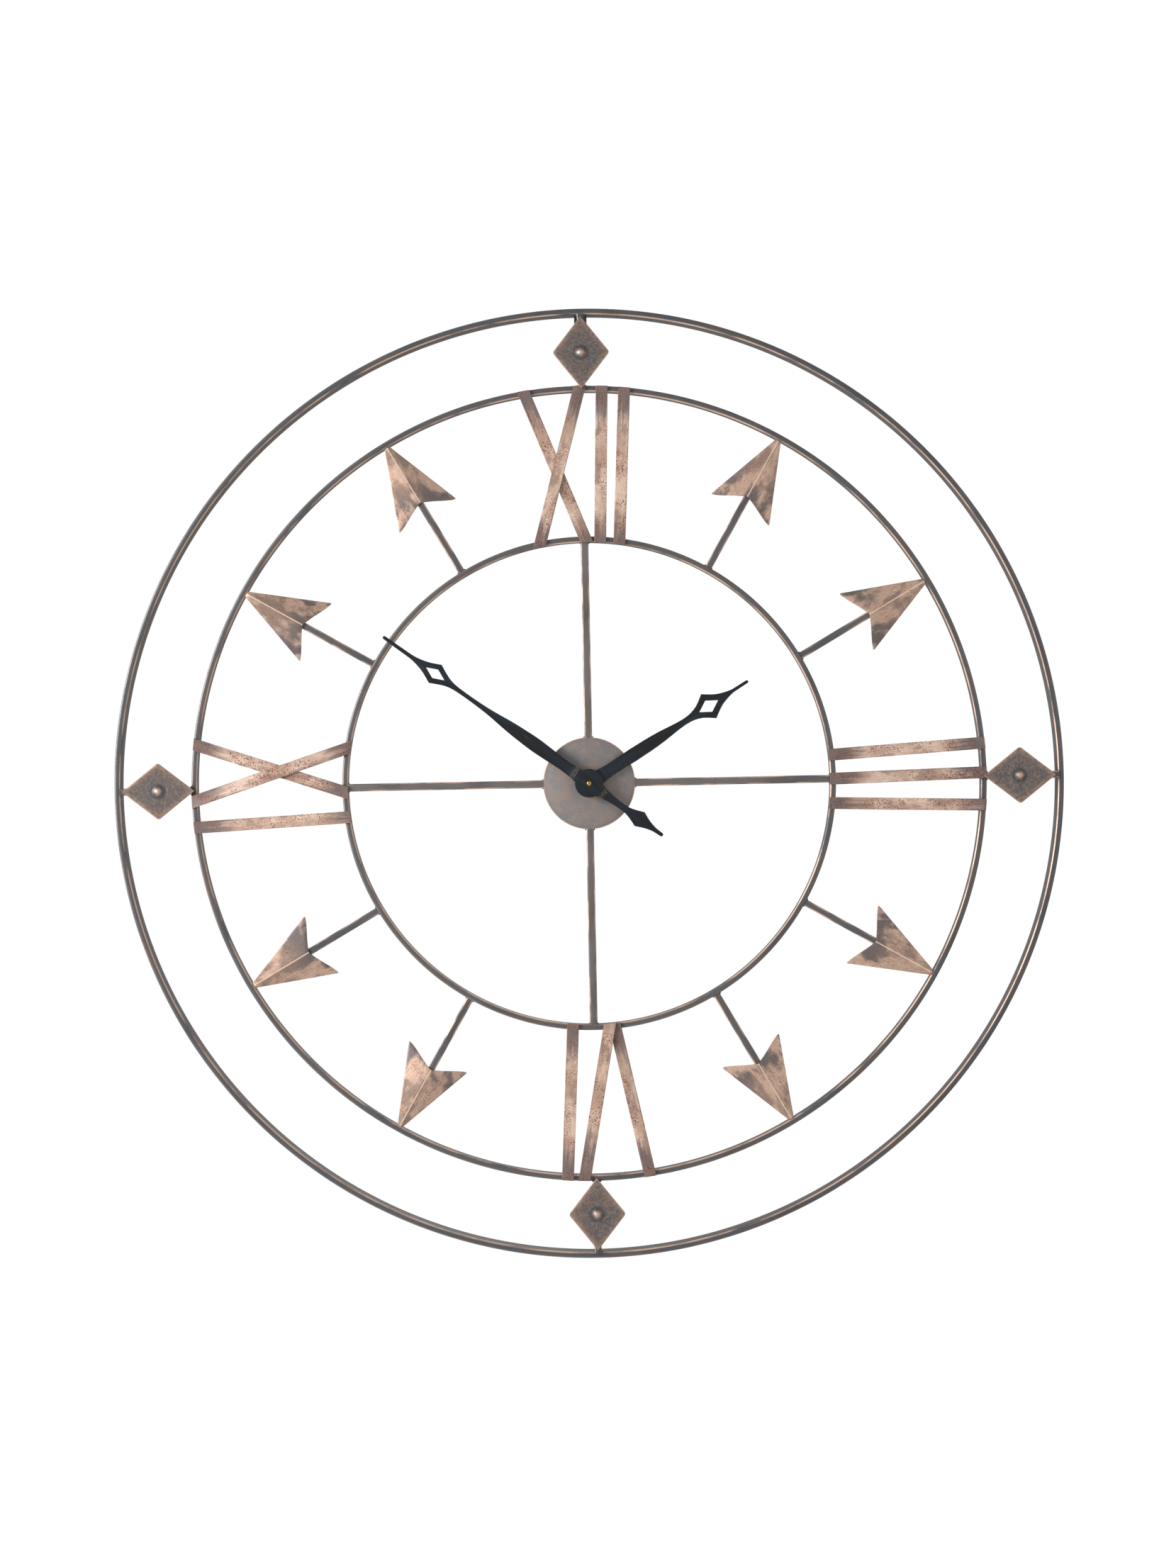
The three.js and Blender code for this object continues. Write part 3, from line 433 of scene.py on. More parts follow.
bronzeLook = {
    "ground": "#62564f", "roughness": ("scour", 0.48, 0.36), "metallic": 0.5,
    "relief": ("scour", 0.03), "halfWidthMm": 23.3, "halfHeightMm": 30.4, "middleMm": (7, 21),
    "rimBandMm": (0.3, 5.0), "rimLineMm": (0.1, 0.7), "bossFootMm": 5.2, "paintedFootShadeMm": (0.3, 2.6),
    "bossCrestHighlightMm": (0.8, 3.8), "scratches": (0.6, 8, 0.57, 0.7, 13, 3), "scratchTurn": 0.9,
    "clouds": {
        "slatePatch": (15, 15, 0.38, 0.62, 2), "scour": (2.6, 2.2, 0.42, 0.7, 7, 6, 0.75),
        "rimBreak": (3, 3, 0.3, 0.62, 19, 5),
    },
    "coats": [
        ("#4d5258", 0.5, "middle"), ("#484c51", 0.65, "slatePatch"), ("#98806f", 0.65, "scour"),
        ("#93796a", 0.8, "rimBand", "rimBreak"), ("#a08a7b", 0.45, "scratches"),
        # the last two coats are painted shade round the boss's foot and a painted highlight on its
        # crest
        ("#a98a77", 0.6, "rimLine"), ("#2f3438", 0.6, "foot"), ("#c09c86", 0.85, "bossCrestHighlight"),
    ],
}


def diamondBronze():
    # steel sheet in a dark bronze lacquer, scoured by hand: copper rubs through round the rim,
    # with a painted highlight on the boss's crest and a ring of painted shade in the angle round
    # its foot
    look = bronzeLook
    tree = newTree("scouredBronze")
    masks = masksOf(tree, look)
    halfWidth, halfHeight = look["halfWidthMm"], look["halfHeightMm"]
    side = math.hypot(halfWidth, halfHeight)
    sideways = calc(
        tree, "MULTIPLY_ADD", masks["side"], -halfHeight / side, halfWidth * halfHeight / side
    )
    fromRim = calc(tree, "MULTIPLY_ADD", masks["far"], -halfWidth / side, sideways)
    masks["rimBand"] = within(tree, fromRim, *look["rimBandMm"])
    masks["rimLine"] = within(tree, fromRim, *look["rimLineMm"])
    here = pointOf(tree, masks)
    fromBoss = lengthOf(tree, here)
    masks["middle"] = within(tree, fromBoss, *look["middleMm"])
    # painted highlight on the crest of the boss
    masks["bossCrestHighlight"] = within(tree, fromBoss, *look["bossCrestHighlightMm"])
    # painted shade in a ring round the foot of the boss
    fromFoot = calc(tree, "ABSOLUTE", calc(tree, "SUBTRACT", fromBoss, look["bossFootMm"]))
    masks["foot"] = within(tree, fromFoot, *look["paintedFootShadeMm"])
    turned = addNode(
        tree, "ShaderNodeVectorRotate", {"Vector": here, "Angle": look["scratchTurn"]},
        rotation_type="Z_AXIS",
    )
    split = addNode(tree, "ShaderNodeSeparateXYZ", {"Vector": turned})
    slanted = dict(masks, across=split.outputs["X"], along=split.outputs["Y"])
    masks["scratches"] = cloud(tree, slanted, *look["scratches"])
    return coatedFinish(tree, "scouredBronze", look, masks)


discLook = {
    "ground": "#80756f", "roughness": ("scuffs", 0.52, 0.4), "metallic": 0.45,
    "relief": ("scuffs", 0.03), "rimMm": (0.35, 0.75), "shadowMm": (0.9, 4.5),
    "clouds": {
        "bluish": (17, 17, 0.4, 0.64, 2), "warm": (9, 9, 0.5, 0.7, 12, 4),
        "scuffs": (1.6, 1.1, 0.52, 0.74, 7, 6, 0.75), "fleck": (0.8, 0.7, 0.62, 0.7, 27, 2),
        "rimBreak": (9, 9, 0.25, 0.5, 19),
    },
    "coats": [
        ("#6a6e72", 0.8, "bluish"), ("#917f75", 0.5, "warm"), ("#6d6561", 0.5, "shadow"),
        ("#a69283", 0.65, "scuffs"), ("#4e4a4a", 0.4, "fleck"), ("#b3917f", 0.9, "rim", "rimBreak"),
    ],
}


def discLacquer():
    # the disc's sheet steel under a thin taupe lacquer, sponged with blue-grey and rubbed bright
    # at its rim: cloudy, with pale scuffs
    look = discLook
    tree = newTree("spongedTaupe")
    masks = masksOf(tree, look)
    fromCentre = lengthOf(tree, pointOf(tree, masks))
    fromRim = calc(tree, "SUBTRACT", masks["half"], fromCentre)
    masks["rim"] = within(tree, fromRim, *look["rimMm"])
    masks["shadow"] = within(tree, fromRim, *look["shadowMm"])
    return coatedFinish(tree, "spongedTaupe", look, masks)


enamelLook = {
    "ground": "#0a0d11", "roughness": ("marks", 0.5, 0.4), "metallic": 0.0, "specular": 0.3,
    "relief": ("marks", 0.02), "bendFromMm": (12.3, 13.9), "bendToMm": (15.3, 18.5),
    "clouds": {
        "bluish": (9, 46, 0.4, 0.64, 2), "marks": (0.45, 30, 0.54, 0.78, 5, 3),
        "scuff": (1.6, 1.3, 0.42, 0.7, 9, 5, 0.75), "tipWear": (3, 24, 0.6, 0.76, 33, 4),
    },
    "coats": [
        ("#101c28", 0.85, "bluish"), ("#2f383e", 0.4, "marks"), ("#45423d", 0.4, "tipWear"),
        # a painted highlight on the bends beside the boss, broken by scuffs and scaled by the hand's
        # reach value
        ("#77695c", 0.7, "bendFrom", "bendTo", "scuff", "reach"),
    ],
}


def handBlue():
    # stamped steel hand in blue-black enamel: almost black, with brush marks along the blade and
    # a painted highlight, broken up by scuffs, on the bends beside the boss
    look = enamelLook
    tree = newTree("wornBlueBlackEnamel")
    masks = masksOf(tree, look)
    masks["bendFrom"] = rising(tree, masks["far"], *look["bendFromMm"])
    masks["bendTo"] = within(tree, masks["far"], *look["bendToMm"])
    return coatedFinish(
        tree, "wornBlueBlackEnamel", look, masks, Specular_IOR_Level=look["specular"]
    )


plainLook = {"fineMm": 0.4, "secondFrom": 0.35, "secondFull": 0.65}


def plainFinish(name, ground, second, blotMm, roughness, metallic, relief):
    # a manufactured surface that reads Object coordinates: two close tones and a fine relief
    look = plainLook
    tree = newTree(name)
    at = addNode(tree, "ShaderNodeTexCoord").outputs["Object"]
    blots = addNode(
        tree, "ShaderNodeTexNoise", {"Vector": at, "Scale": 1 / (blotMm * mm), "Detail": 4.0}
    )
    fine = addNode(
        tree, "ShaderNodeTexNoise", {"Vector": at, "Scale": 1 / (look["fineMm"] * mm), "Detail": 2.0}
    )
    mask = addNode(
        tree, "ShaderNodeMapRange",
        {"Value": blots, "From Min": look["secondFrom"], "From Max": look["secondFull"]},
    )
    colour = layered(tree, ground, (second, mask))
    return finishOf(tree, name, colour, (blots, *roughness), metallic, fine, relief)


jacketLook = {
    "body": "#2c6e4c", "band": "#20262a", "bare": "#c3c6c8", "scuff": "#3f7f60",
    "bandMm": (11.9, 12.0), "bareMm": (23.4, 23.5), "scuffScale": 900.0, "scuffShare": 0.2,
}


def cellJacket():
    # printed shrink sleeve over a steel can: a coloured body, a dark band at the positive end and
    # bare metal at both faces
    look = jacketLook
    tree = newTree("printedCellSleeve")
    at = addNode(tree, "ShaderNodeTexCoord").outputs["Object"]
    x = addNode(tree, "ShaderNodeSeparateXYZ", {"Vector": at}).outputs["X"]
    farX = calc(tree, "ABSOLUTE", x)
    band, bare = [
        addNode(tree, "ShaderNodeMapRange", {"Value": v, "From Min": a * mm, "From Max": b * mm})
        for v, (a, b) in ((x, look["bandMm"]), (farX, look["bareMm"]))
    ]
    scuffs = addNode(
        tree, "ShaderNodeTexNoise", {"Vector": at, "Scale": look["scuffScale"], "Detail": 4.0}
    )
    colour = layered(
        tree, look["body"], (look["band"], band), (look["bare"], bare),
        (look["scuff"], product(tree, scuffs, look["scuffShare"])),
    )
    return finishOf(tree, "printedCellSleeve", colour, (scuffs, 0.25, 0.4), 0.3, scuffs, 0.01)


slate = slateIron()
numeral = numeralWash()
arrow = arrowWash()
bronze = diamondBronze()
taupe = discLacquer()
enamel = handBlue()
# turned brass rod: warm yellow, smooth, with faint turning marks
brass = plainFinish("turnedBrass", "#c99a55", "#b98a48", 3, (0.22, 0.32), 1.0, 0.01)
# injection-moulded ABS with a fine spark-eroded texture: black, slightly grey in the light
blackPlastic = plainFinish("mouldedBlackAbs", "#17181a", "#1d1e21", 6, (0.45, 0.6), 0.0, 0.03)
# moulded acetal: milky white and a little waxy
whitePlastic = plainFinish("whiteAcetal", "#dedbd2", "#e6e4dc", 4, (0.35, 0.45), 0.0, 0.01)
rubber = plainFinish("blackRubber", "#141414", "#1b1b1b", 2, (0.8, 0.92), 0.0, 0.04)
# electrical steel sheet, punched: grey with a soft sheen
softIron = plainFinish("punchedSoftIron", "#8f9194", "#7f8184", 5, (0.35, 0.5), 0.9, 0.02)
# enamelled copper wire in close turns: orange-brown and glossy
copperWire = plainFinish("enamelledCopper", "#9c4d22", "#b3602d", 0.6, (0.25, 0.35), 0.7, 0.06)
# glass-fibre board under green solder mask
board = plainFinish("greenSolderMask", "#1d5735", "#22643d", 3, (0.3, 0.42), 0.0, 0.02)
jacket = cellJacket()
print("finishes made")


# rings: a section swept round a circle by Geometry Nodes, then given its own coordinates

ringSizes = {
    "barWidthMm": 5.0, "edgeRoundingMm": 1.3, "segments": 720, "smoothDegrees": 35, "seedStep": 4.0,
    "depthMm": {"outer_ring": 20.0, "middle_ring": 12.0, "inner_ring": 12.0},
    "tone": {"outer_ring": 0.0, "middle_ring": 0.15, "inner_ring": 0.3},
}


def newGeometryTree(name, sizes):  # a tree with a named input for each size, by its default
    tree = bpy.data.node_groups.new(name, "GeometryNodeTree")
    for way in ("INPUT", "OUTPUT"):
        tree.interface.new_socket(name="Geometry", in_out=way, socket_type="NodeSocketGeometry")
    ids = {}
    for label, default in sizes.items():
        kind = {int: "NodeSocketInt", float: "NodeSocketFloat"}.get(type(default))
        socket = tree.interface.new_socket(
            name=label, in_out="INPUT", socket_type=kind or "NodeSocketMaterial"
        )
        socket.default_value = default
        ids[label] = socket.identifier
    return tree, ids


def evaluated(name, tree, ids, values, base=None):
    # runs a tree on a base mesh and gives back a plain mesh
    holder = asObject(name + "_base", base or bpy.data.meshes.new(name + "_base"))
    modifier = holder.modifiers.new("build", "NODES")
    modifier.node_group = tree
    for label, value in values.items():
        modifier[ids[label]] = value
    bpy.context.view_layer.update()
    graph = bpy.context.evaluated_depsgraph_get()
    mesh = bpy.data.meshes.new_from_object(holder.evaluated_get(graph))
    mesh.name = name + "_mesh"
    holder.modifiers.remove(modifier)
    bpy.data.objects.remove(holder)
    return mesh


def closeTree(tree, geometry, finish):
    real = addNode(tree, "GeometryNodeRealizeInstances", {"Geometry": geometry})
    smooth = addNode(tree, "GeometryNodeSetShadeSmooth", {"Geometry": real})
    finished = addNode(
        tree, "GeometryNodeSetMaterial", {"Geometry": smooth, "Material": finish}
    )
    addNode(tree, "NodeGroupOutput", {"Geometry": finished})


def ringInputs(outerRadius, depthMm):
    return {
        "Outer radius": outerRadius, "Bar width": ringSizes["barWidthMm"] * mm,
        "Depth": depthMm * mm, "Edge rounding": ringSizes["edgeRoundingMm"] * mm,
        "Segments": ringSizes["segments"], "Finish": slate,
    }


def rolledRingTree():
    tree, ids = newGeometryTree("rolledRing", ringInputs(0.4, 20.0))
    get = addNode(tree, "NodeGroupInput").outputs
    halfWidth = calc(tree, "MULTIPLY", get["Bar width"], 0.5)
    middle = calc(tree, "SUBTRACT", get["Outer radius"], halfWidth)
    circle = addNode(
        tree, "GeometryNodeCurvePrimitiveCircle", {"Resolution": get["Segments"], "Radius": middle}
    )
    level = addNode(tree, "GeometryNodeSetCurveNormal", {"Curve": circle}, mode="Z_UP")
    section = addNode(
        tree, "GeometryNodeCurvePrimitiveQuadrilateral",
        {"Width": get["Bar width"], "Height": get["Depth"]},
    )
    rounded = addNode(
        tree, "GeometryNodeFilletCurve",
        {"Curve": section, "Radius": get["Edge rounding"], "Count": 3}, mode="POLY",
    )
    swept = addNode(tree, "GeometryNodeCurveToMesh", {"Curve": level, "Profile Curve": rounded})
    closeTree(tree, swept, get["Finish"])
    return tree, ids


def ringCoordinates(mesh, middleRadius, frontMm):
    # across the bar's front and on down its sides; along the arc, clockwise from twelve
    whole = 2 * math.pi
    faceAngle = [math.atan2(face.center.x, face.center.z) % whole for face in mesh.polygons]
    loopFace = {i: face.index for face in mesh.polygons for i in face.loop_indices}

    def flat(point, loop):
        radius = math.hypot(point.x, point.z)
        across = radius - middleRadius
        side = 1 if across > 0 else -1
        across += side * max(0.0, point.y - frontMm - ringSizes["edgeRoundingMm"])
        middle = faceAngle[loopFace[loop.index]]
        angle = math.atan2(point.x, point.z) % whole
        angle += whole * round((middle - angle) / whole)
        return across, angle * middleRadius

    return flat


ringTree, ringIds = rolledRingTree()
for i, (node, depth) in enumerate(ringSizes["depthMm"].items()):
    low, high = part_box(node)
    width = ringSizes["barWidthMm"]
    mesh = evaluated(node, ringTree, ringIds, ringInputs(high.x, depth))
    mesh.transform(Matrix.Rotation(math.radians(90), 4, "X"))
    mesh.transform(Matrix.Translation((0, low.y + depth * mm / 2, 0)))
    mesh.set_sharp_from_angle(angle=math.radians(ringSizes["smoothDegrees"]))
    flat = ringCoordinates(mesh, high.x / mm - width / 2, low.y / mm)
    setCoordinates(
        mesh, flat, width / 2, 1.0, ringSizes["seedStep"] * i, 1.0, ringSizes["tone"][node]
    )
    place(asObject(node + "_rolled", mesh, slate), "frame", "slate_iron", node)
print("rings rolled")


# straight bars: spokes and arrow shafts, run into the rings they are welded to

barSizes = {
    "edgeRoundingMm": 0.9, "cornerSteps": 4, "stations": 24, "weldReachMm": 0.8,
    "smoothDegrees": 35, "seedStep": 1.7, "seed": {"spoke": 20, "arrow_shaft": 40},
    "tone": {"spoke": 0.85, "arrow_shaft": 0.35},
}


def straightBar(name, halfWidth, front, back, foot, head):
    # a bar along +Z at twelve, its front edges rounded
    curve, corner = barSizes["edgeRoundingMm"], barSizes["cornerSteps"]
    section = [(-halfWidth, back), (-halfWidth, front + curve)]
    for i in range(1, corner):
        turn = math.radians(90 / corner * i)
        section.append(
            (-halfWidth + curve * (1 - math.cos(turn)), front + curve * (1 - math.sin(turn)))
        )
    section.append((-halfWidth + curve, front))
    section += [(-x, y) for x, y in reversed(section)]
    verts, count, steps = [], len(section), barSizes["stations"]
    for k in range(steps + 1):
        z = foot + (head - foot) * k / steps
        verts += [(x, y, z) for x, y in section]
    faces = quads(steps + 1, count)
    faces.append(tuple(reversed(range(count))))
    faces.append(tuple(steps * count + i for i in range(count)))
    return fixOutward(meshFrom(name, verts, faces, barSizes["smoothDegrees"]))


def barCoordinates(halfWidth, front, middleZ):
    def flat(point, loop):
        side = 1 if point.x > 0 else -1
        down = max(0.0, point.y - front - barSizes["edgeRoundingMm"])
        return point.x + side * down, point.z - middleZ
    return flat


def addBars(node, hourList, atTwelve, reachFoot, reachHead):
    # a bar at each hour, longer at foot and head than its CAD node by the two reaches
    low, high = atTwelve
    half, front, back = high.x / mm, low.y / mm, high.y / mm
    foot, head = low.z / mm - reachFoot, high.z / mm + reachHead
    middle = (foot + head) / 2
    for i, hour in enumerate(hourList):
        mesh = straightBar(f"{node}_{hour}", half, front, back, foot, head)
        setCoordinates(
            mesh, barCoordinates(half, front, middle), half, (head - foot) / 2,
            barSizes["seed"][node] + barSizes["seedStep"] * i, tone=barSizes["tone"][node],
        )
        mesh.transform(turnedTo(hour))
        place(asObject(f"{node}_{hour}_bar", mesh, slate), "frame", "slate_iron", f"{node}_{hour}")


def boxAtTwelve(node, hour):
    back = turnedTo(hour).inverted()
    corners = [back @ v.co for v in frame["nodes"][node].data.vertices]
    low = Vector([min(p[k] for p in corners) for k in range(3)])
    high = Vector([max(p[k] for p in corners) for k in range(3)])
    return low, high


weldReach = barSizes["weldReachMm"]
addBars("spoke", hours["quarters"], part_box("spoke_12"), weldReach, weldReach)
addBars("arrow_shaft", hours["arrows"], boxAtTwelve("arrow_shaft_1", 1), weldReach, 0.0)
print("bars made")


# flat pieces kept from the frame with broken edges: numerals, hanger, hands

numeralSizes = {"bevelMm": 0.3, "halfWidthMm": 5.0, "seed": 60, "seedStep": 2.3}
hangerSizes = {"bevelMm": 0.25, "seed": 90}
handSizes = {
    "bevelMm": 0.2, "seed": 100, "seedStep": 7,
    # degrees clockwise from twelve at rest, and how strong the painted highlight on the bends is
    "hands": {"minute_hand": (306.5, 1.0), "hour_hand": (58.3, 0.2)},
}


def longAxis(mesh):
    # a flat piece's middle and its long direction in the dial's plane, pointing outwards
    points = [v.co for v in mesh.vertices]
    middle = sum((Vector((p.x, p.z)) for p in points), Vector((0, 0))) / len(points)
    xx = sum((p.x - middle.x) ** 2 for p in points)
    zz = sum((p.z - middle.y) ** 2 for p in points)
    xz = sum((p.x - middle.x) * (p.z - middle.y) for p in points)
    angle = 0.5 * math.atan2(2 * xz, xx - zz)
    along = Vector((math.cos(angle), math.sin(angle)))
    return middle, along if along.dot(middle) > 0 else -along


def stripCoordinates(middle, along):
    across = Vector((along.y, -along.x))

    def flat(point, loop):
        here = Vector((point.x, point.z)) - middle / mm
        return here.dot(across), here.dot(along)
    return flat


numeralNodes = [n for n in sorted(frame["nodes"]) if n.startswith("numeral_")]
for i, node in enumerate(numeralNodes):
    mesh = softened(node, numeralSizes["bevelMm"])
    middle, along = longAxis(mesh)
    flat = stripCoordinates(middle, along)
    reach = max(abs(flat(v.co / mm, None)[1]) for v in mesh.vertices)
    seed = numeralSizes["seed"] + numeralSizes["seedStep"] * i
    setCoordinates(mesh, flat, numeralSizes["halfWidthMm"], reach, seed)
    place(asObject(node + "_bar", mesh, numeral), "frame", "copper_wash", node)

mesh = softened("wall_hanger", hangerSizes["bevelMm"])
setCoordinates(mesh, onDial, noEdgeMm, 1.0, hangerSizes["seed"])
place(asObject("wall_hanger_strip", mesh, slate), "frame", "slate_iron", "wall_hanger")

for i, (node, (angle, bendHighlight)) in enumerate(handSizes["hands"].items()):
    mesh = softened(node, handSizes["bevelMm"])
    turn = math.radians(angle)
    along = Vector((math.sin(turn), math.cos(turn)))
    flat = stripCoordinates(Vector((0, 0)), along)
    # the reach value carries how strong the painted highlight on the bends is
    setCoordinates(mesh, flat, noEdgeMm, bendHighlight, handSizes["seed"] + handSizes["seedStep"] * i)
    place(asObject(node + "_blade", mesh, enamel), bodyOf(node), "blued_hand", node)
print("numerals and hands made")


# arrowheads: sheet folded on a rounded ridge

arrowSizes = {
    "tipHalfMm": 2.4, "halfSpanMm": 28.1, "notchMm": 12.2, "lengthMm": 66.0,
    "notchPower": 1.25, "trailBulgeMm": 1.6, "foldDropMm": 6.0, "sheetMm": 1.5,
    "ridgeRoundMm": 0.4, "crownMm": 0.25, "barbRoundMm": 1.3, "edgeBreakMm": 0.3,
    "acrossSteps": 16, "alongSteps": 14, "seed": 120, "seedStep": 3.1,
}
smoothDegrees = 30  # for the arrowheads, the diamonds and what is turned


def arrowheadMesh(name):
    # at twelve, with its barbs at z = 0 and its tip at the top; y = 0 is the ridge's front
    sizes = arrowSizes
    nx, nz = sizes["acrossSteps"], sizes["alongSteps"]

    def trail(share):  # the trailing edge, from the notch to the barb
        x = sizes["halfSpanMm"] * share
        z = sizes["notchMm"] * (1 - share) ** sizes["notchPower"]
        z += sizes["trailBulgeMm"] * math.sin(math.pi * share) * (1 - share)
        return Vector((x, z))

    def front(share, rise):
        tip = Vector((sizes["tipHalfMm"] * share, sizes["lengthMm"]))
        point = trail(share).lerp(tip, rise)
        rounding = sizes["ridgeRoundMm"]
        fold = math.sqrt(point.x ** 2 + rounding ** 2) - rounding
        y = sizes["foldDropMm"] * fold / (sizes["halfSpanMm"] - rounding)
        y -= sizes["crownMm"] * math.sin(math.pi * min(1.0, point.x / sizes["halfSpanMm"]))
        return point.x, max(0.0, y), point.y

    verts, faces = [], []
    columns = list(range(-nx, nx + 1))
    for k in range(nz + 1):
        for i in columns:
            x, y, z = front(abs(i) / nx, k / nz)
            verts.append((math.copysign(x, i), y, z))
    wide = len(columns)
    for k in range(nz):
        for i in range(wide - 1):
            a = k * wide + i
            faces.append((a, a + 1, a + 1 + wide, a + wide))
    backStart = len(verts)
    verts += [(x, y + sizes["sheetMm"], z) for x, y, z in verts]
    faces += [tuple(backStart + v for v in reversed(f)) for f in faces]
    rim = list(range(wide)) + [k * wide + wide - 1 for k in range(1, nz + 1)]
    rim += [nz * wide + i for i in range(wide - 2, -1, -1)]
    rim += [k * wide for k in range(nz - 1, 0, -1)]
    for i, a in enumerate(rim):
        b = rim[(i + 1) % len(rim)]
        faces.append((b, a, a + backStart, b + backStart))

    def breakEdges(work):
        close = 1e-5
        span = sizes["halfSpanMm"] * mm - close
        barbs = [
            e for e in work.edges if all(abs(v.co.x) > span and v.co.z < close for v in e.verts)
        ]
        bevelled(work, barbs, sizes["barbRoundMm"], 4)
        bevelled(work, edgesOver(work, 60), sizes["edgeBreakMm"], 2)

    mesh = fixOutward(meshFrom(name, verts, faces))
    return shadeSmooth(edited(mesh, breakEdges), smoothDegrees)


for i, hour in enumerate(hours["arrows"]):
    node = f"arrowhead_{hour}"
    low, high = boxAtTwelve(node, hour)
    mesh = arrowheadMesh(node)
    setCoordinates(mesh, onDial, noEdgeMm, 1.0, arrowSizes["seed"] + arrowSizes["seedStep"] * i)
    barbZ = high.z - arrowSizes["lengthMm"] * mm
    mesh.transform(turnedTo(hour) @ Matrix.Translation((0, low.y, barbZ)))
    place(asObject(node + "_sheet", mesh, arrow), "frame", "copper_wash", node)
print("arrowheads folded")


# diamonds: plate with its pressed boss, and the link behind it

diamondSizes = {
    "halfWidthMm": 23.3, "sheetMm": 1.5, "cornerMm": 2.7, "bossRadiusMm": 6.4, "bossHeightMm": 2.2,
    "bossPower": 1.2, "bossSteps": 12, "plateSteps": 8, "edgeSteps": 10, "cornerSteps": 6,
    "edgeBreakMm": 0.35, "backBreakMm": 0.2, "backInMm": 8.0, "rimGapMm": 2.0, "linkHalfMm": 3.0,
    "linkFootMm": 2.4, "linkLapMm": 0.1, "linkReachMm": 30.0, "seed": 150, "seedStep": 5.3,
    "linkSeed": 170, "linkSeedStep": 2,
}


def diamondOutline(halfHeight):
    # the rounded diamond about its own middle, clockwise from its top
    half, corner = diamondSizes["halfWidthMm"], diamondSizes["cornerMm"]
    straight, bend = diamondSizes["edgeSteps"], diamondSizes["cornerSteps"]
    slope = math.atan2(half, halfHeight)
    centre = half - corner
    quarter = [Vector((0, halfHeight))]
    start = Vector((centre + corner * math.cos(slope), corner * math.sin(slope)))
    quarter += [quarter[0].lerp(start, i / straight) for i in range(1, straight)]
    for i in range(bend):
        turn = slope * (1 - i / bend)
        quarter.append(Vector((centre + corner * math.cos(turn), corner * math.sin(turn))))
    right = quarter + [Vector((half, 0))] + [Vector((p.x, -p.y)) for p in reversed(quarter)]
    return right + [Vector((-p.x, p.y)) for p in reversed(right[1:-1])]


def diamondMesh(name, halfHeight):
    sizes = diamondSizes
    outline = diamondOutline(halfHeight)
    radius, height = sizes["bossRadiusMm"], sizes["bossHeightMm"]
    stations = []  # circle radius, share of the way to the outline, and how far forward
    bell, flat = sizes["bossSteps"], sizes["plateSteps"]
    for i in range(1, bell + 1):
        forward = height * (0.5 + 0.5 * math.cos(math.pi * i / bell)) ** sizes["bossPower"]
        stations.append((radius * i / bell, 0.0, forward))
    stations += [(radius, i / flat, 0.0) for i in range(1, flat)] + [(radius, 1.0, 0.0)]
    broken = sizes["edgeBreakMm"]
    rows = []
    for circle, share, forward in stations:
        row = []
        for p in outline:
            ring = p.normalized() * circle
            inner = p * (1 - broken / p.length)
            row.append((*ring.lerp(inner, share), -forward))
        rows.append(row)
    thick, broke = sizes["sheetMm"], sizes["backBreakMm"]
    for inset, back in (
        (0.3 * broken, 0.3 * broken), (0.0, broken), (0.0, thick - broke), (broke, thick),
        (sizes["backInMm"], thick),
    ):
        rows.append([(*(p * (1 - inset / p.length)), back) for p in outline])
    count = len(outline)
    verts = [(0, -height, 0)] + [(x, y, z) for row in rows for x, z, y in row] + [(0, thick, 0)]
    faces = [(0, 1 + (i + 1) % count, 1 + i) for i in range(count)]
    faces += quads(len(rows), count, 1)
    last = len(verts) - 1
    a = 1 + (len(rows) - 1) * count
    faces += [(last, a + i, a + (i + 1) % count) for i in range(count)]
    return fixOutward(meshFrom(name, verts, faces, smoothDegrees))


for i, hour in enumerate(hours["quarters"]):
    node = f"diamond_{hour}"
    sizes = diamondSizes
    low, high = boxAtTwelve(node, hour)
    foot = low.z / mm
    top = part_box("outer_ring")[1].x / mm - ringSizes["barWidthMm"] - sizes["rimGapMm"]
    middleZ = (foot + top) / 2
    plateFront = low.y / mm + sizes["bossHeightMm"]
    mesh = diamondMesh(node, (top - foot) / 2)
    setCoordinates(mesh, onDial, noEdgeMm, 1.0, sizes["seed"] + sizes["seedStep"] * i)
    mesh.transform(turnedTo(hour) @ Matrix.Translation((0, plateFront * mm, middleZ * mm)))
    place(asObject(node + "_plate", mesh, bronze), "frame", "bronze_plate", node)
    half = sizes["linkHalfMm"]
    front = plateFront + sizes["sheetMm"] - sizes["linkLapMm"]
    linkFoot, linkHead = foot + sizes["linkFootMm"], high.z / mm + weldReach
    link = straightBar(node + "_link", half, front, high.y / mm, linkFoot, linkHead)
    setCoordinates(
        link, barCoordinates(half, front, middleZ), half, sizes["linkReachMm"],
        sizes["linkSeed"] + sizes["linkSeedStep"] * i,
    )
    link.transform(turnedTo(hour))
    place(asObject(node + "_link", link, slate), "frame", "slate_iron", node)
print("diamonds pressed")


# weld beads: rows of small lumps along the joints, laid by Geometry Nodes

